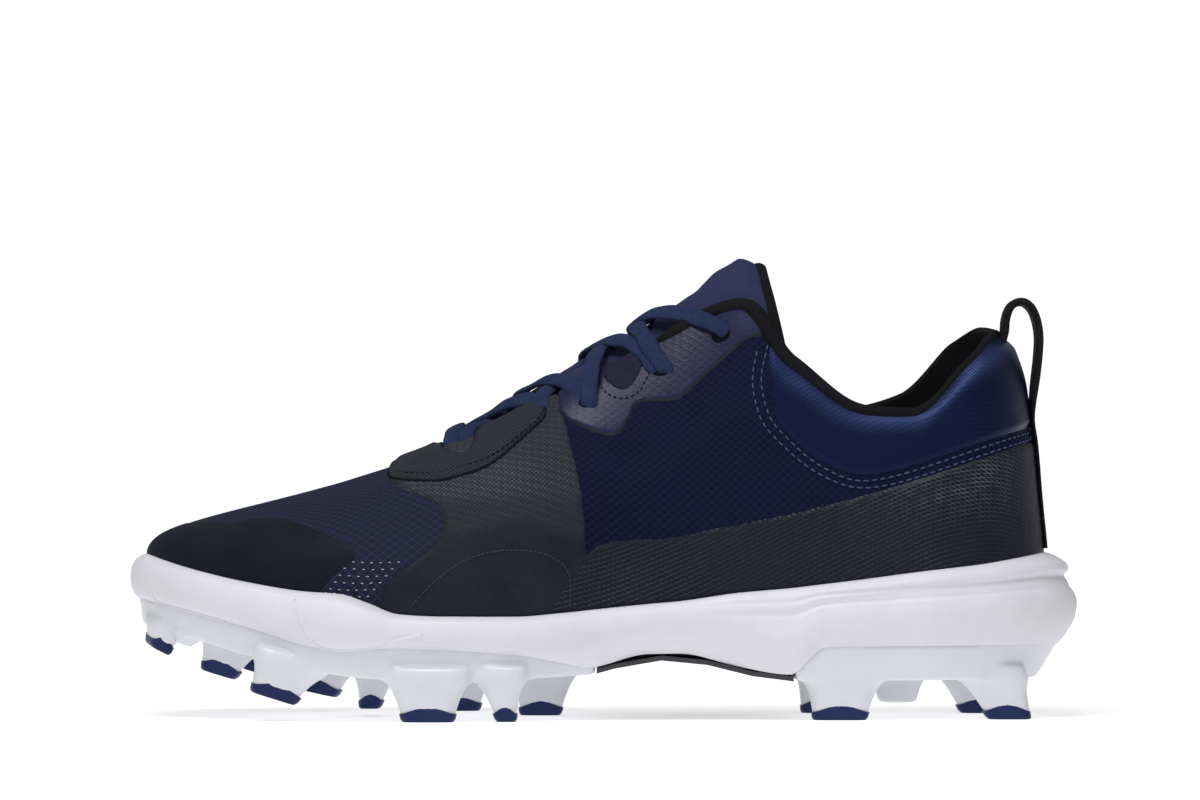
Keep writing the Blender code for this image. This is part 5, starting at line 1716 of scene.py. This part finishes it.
def open_ring_faces(columns, rows):
    """Quads of a cut loop of columns whose ends face each other, closed across."""
    faces = grid_faces(columns, rows)
    half = columns // 2
    for i in range(half - (0 if columns % 2 else 1)):
        a, b = i, i + 1
        c, d = columns - 1 - b, columns - 1 - a
        for j in (0, rows - 1):
            corner = [k * rows + j for k in (a, b, c, d)]
            face = [point for n, point in enumerate(corner) if point not in corner[:n]]
            if len(face) >= 3:
                faces.append(tuple(face if j else reversed(face)))
    end = columns - 1
    for j in range(rows - 1):
        faces.append((j, end * rows + j, end * rows + j + 1, j + 1))
    return faces


def moulded_blend(piece, voxel, rounds):
    """Melt overlapping solids into one moulded body with small fillets."""
    melt = piece.modifiers.new("melt", "REMESH")
    melt.mode = "VOXEL"
    melt.voxel_size = voxel
    melt.use_smooth_shade = True
    soften = piece.modifiers.new("soften", "SMOOTH")
    soften.factor = 0.5
    soften.iterations = rounds


def make_outsole(name, node, us, studs, nubs):
    points = plate_points(us, lambda x: plate_top_z(x) - underside_z(x) + PLATE_BURIED)
    faces = open_ring_faces(len(us), points.shape[1])
    verts = [points.reshape(-1, 3)]
    base = points.shape[0] * points.shape[1]
    for rows, tipped in ((studs, True), (nubs, False)):
        for row in rows:
            body, rings = stud_body(row, tipped)
            faces += stud_faces(rings, base)
            verts.append(body)
            base += len(body)
    piece = make_piece(name, np.concatenate(verts), faces, [MATERIALS["plate"]])
    face_outward(piece)
    moulded_blend(piece, 0.8 * MM, 12)
    finish_piece(piece, [node])


def make_outsoles():
    start = place_at(FOREFOOT_PLATE_END)
    make_outsole("forefoot_plate", "outsole_forefoot", np.linspace(start, 2 - start, 221), FOREFOOT_STUDS,
                 FOREFOOT_NUBS)
    end = place_at(HEEL_PLATE_END)
    make_outsole("heel_plate", "outsole_heel", np.linspace(end, -end, 161), HEEL_STUDS, HEEL_NUBS)


def make_tips():
    for row in FOREFOOT_STUDS + HEEL_STUDS:
        stud = dict(zip(STUD_COLUMNS, row))
        floor = stud["floor"] * STUD_HEIGHT
        lean = stud["lean"] * STUD_HEIGHT
        spread = stud["spread"] * STUD_HEIGHT / 2
        plate_low = float(underside_z(x_at(stud["share"]) + lean))
        share = TIP_HEIGHT / (plate_low - floor)
        rings = [stud_ring(stud, -0.35 * MM, 0.0, floor, 0.0),
                 stud_ring(stud, 0.0, 0.0, floor + 0.35 * MM, 0.0)]
        for t in (0.35, 0.7, 1.0):
            rings.append(stud_ring(stud, spread * share * 0.8 * t + 0.15 * MM, lean * share * t,
                                   floor + TIP_HEIGHT * t, TIP_PEAK * t * t))
        rings.append(stud_ring(stud, spread * share * 0.8 - 0.2 * MM, lean * share,
                               floor + TIP_HEIGHT, TIP_PEAK))
        piece = make_piece("cap_" + stud["name"], np.concatenate(rings), stud_faces(len(rings)),
                           [MATERIALS["tip"]], sharp=45)
        finish_piece(piece, ["tip_" + stud["name"]])


def dress_frame_nodes():
    """Materials for the frame's own solids that keep their shape."""
    for name, finish in (("arch_plate", "arch"), ("insole", "insole")):
        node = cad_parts[name]
        node.data.materials.clear()
        node.data.materials.append(MATERIALS[finish])


make_camera()
make_stage()
make_upper()
make_toe_film()
make_saddles()
make_loop_panel()
make_stay_films()
make_notches()
make_rand()
make_collar_pad()
make_edge_binding()
make_tongue()
make_laces()
make_pull_loop()
make_stitches()
make_pinholes()
make_eyelet_holes()
make_midsole()
make_mould_lines()
make_outsoles()
make_tips()
dress_frame_nodes()
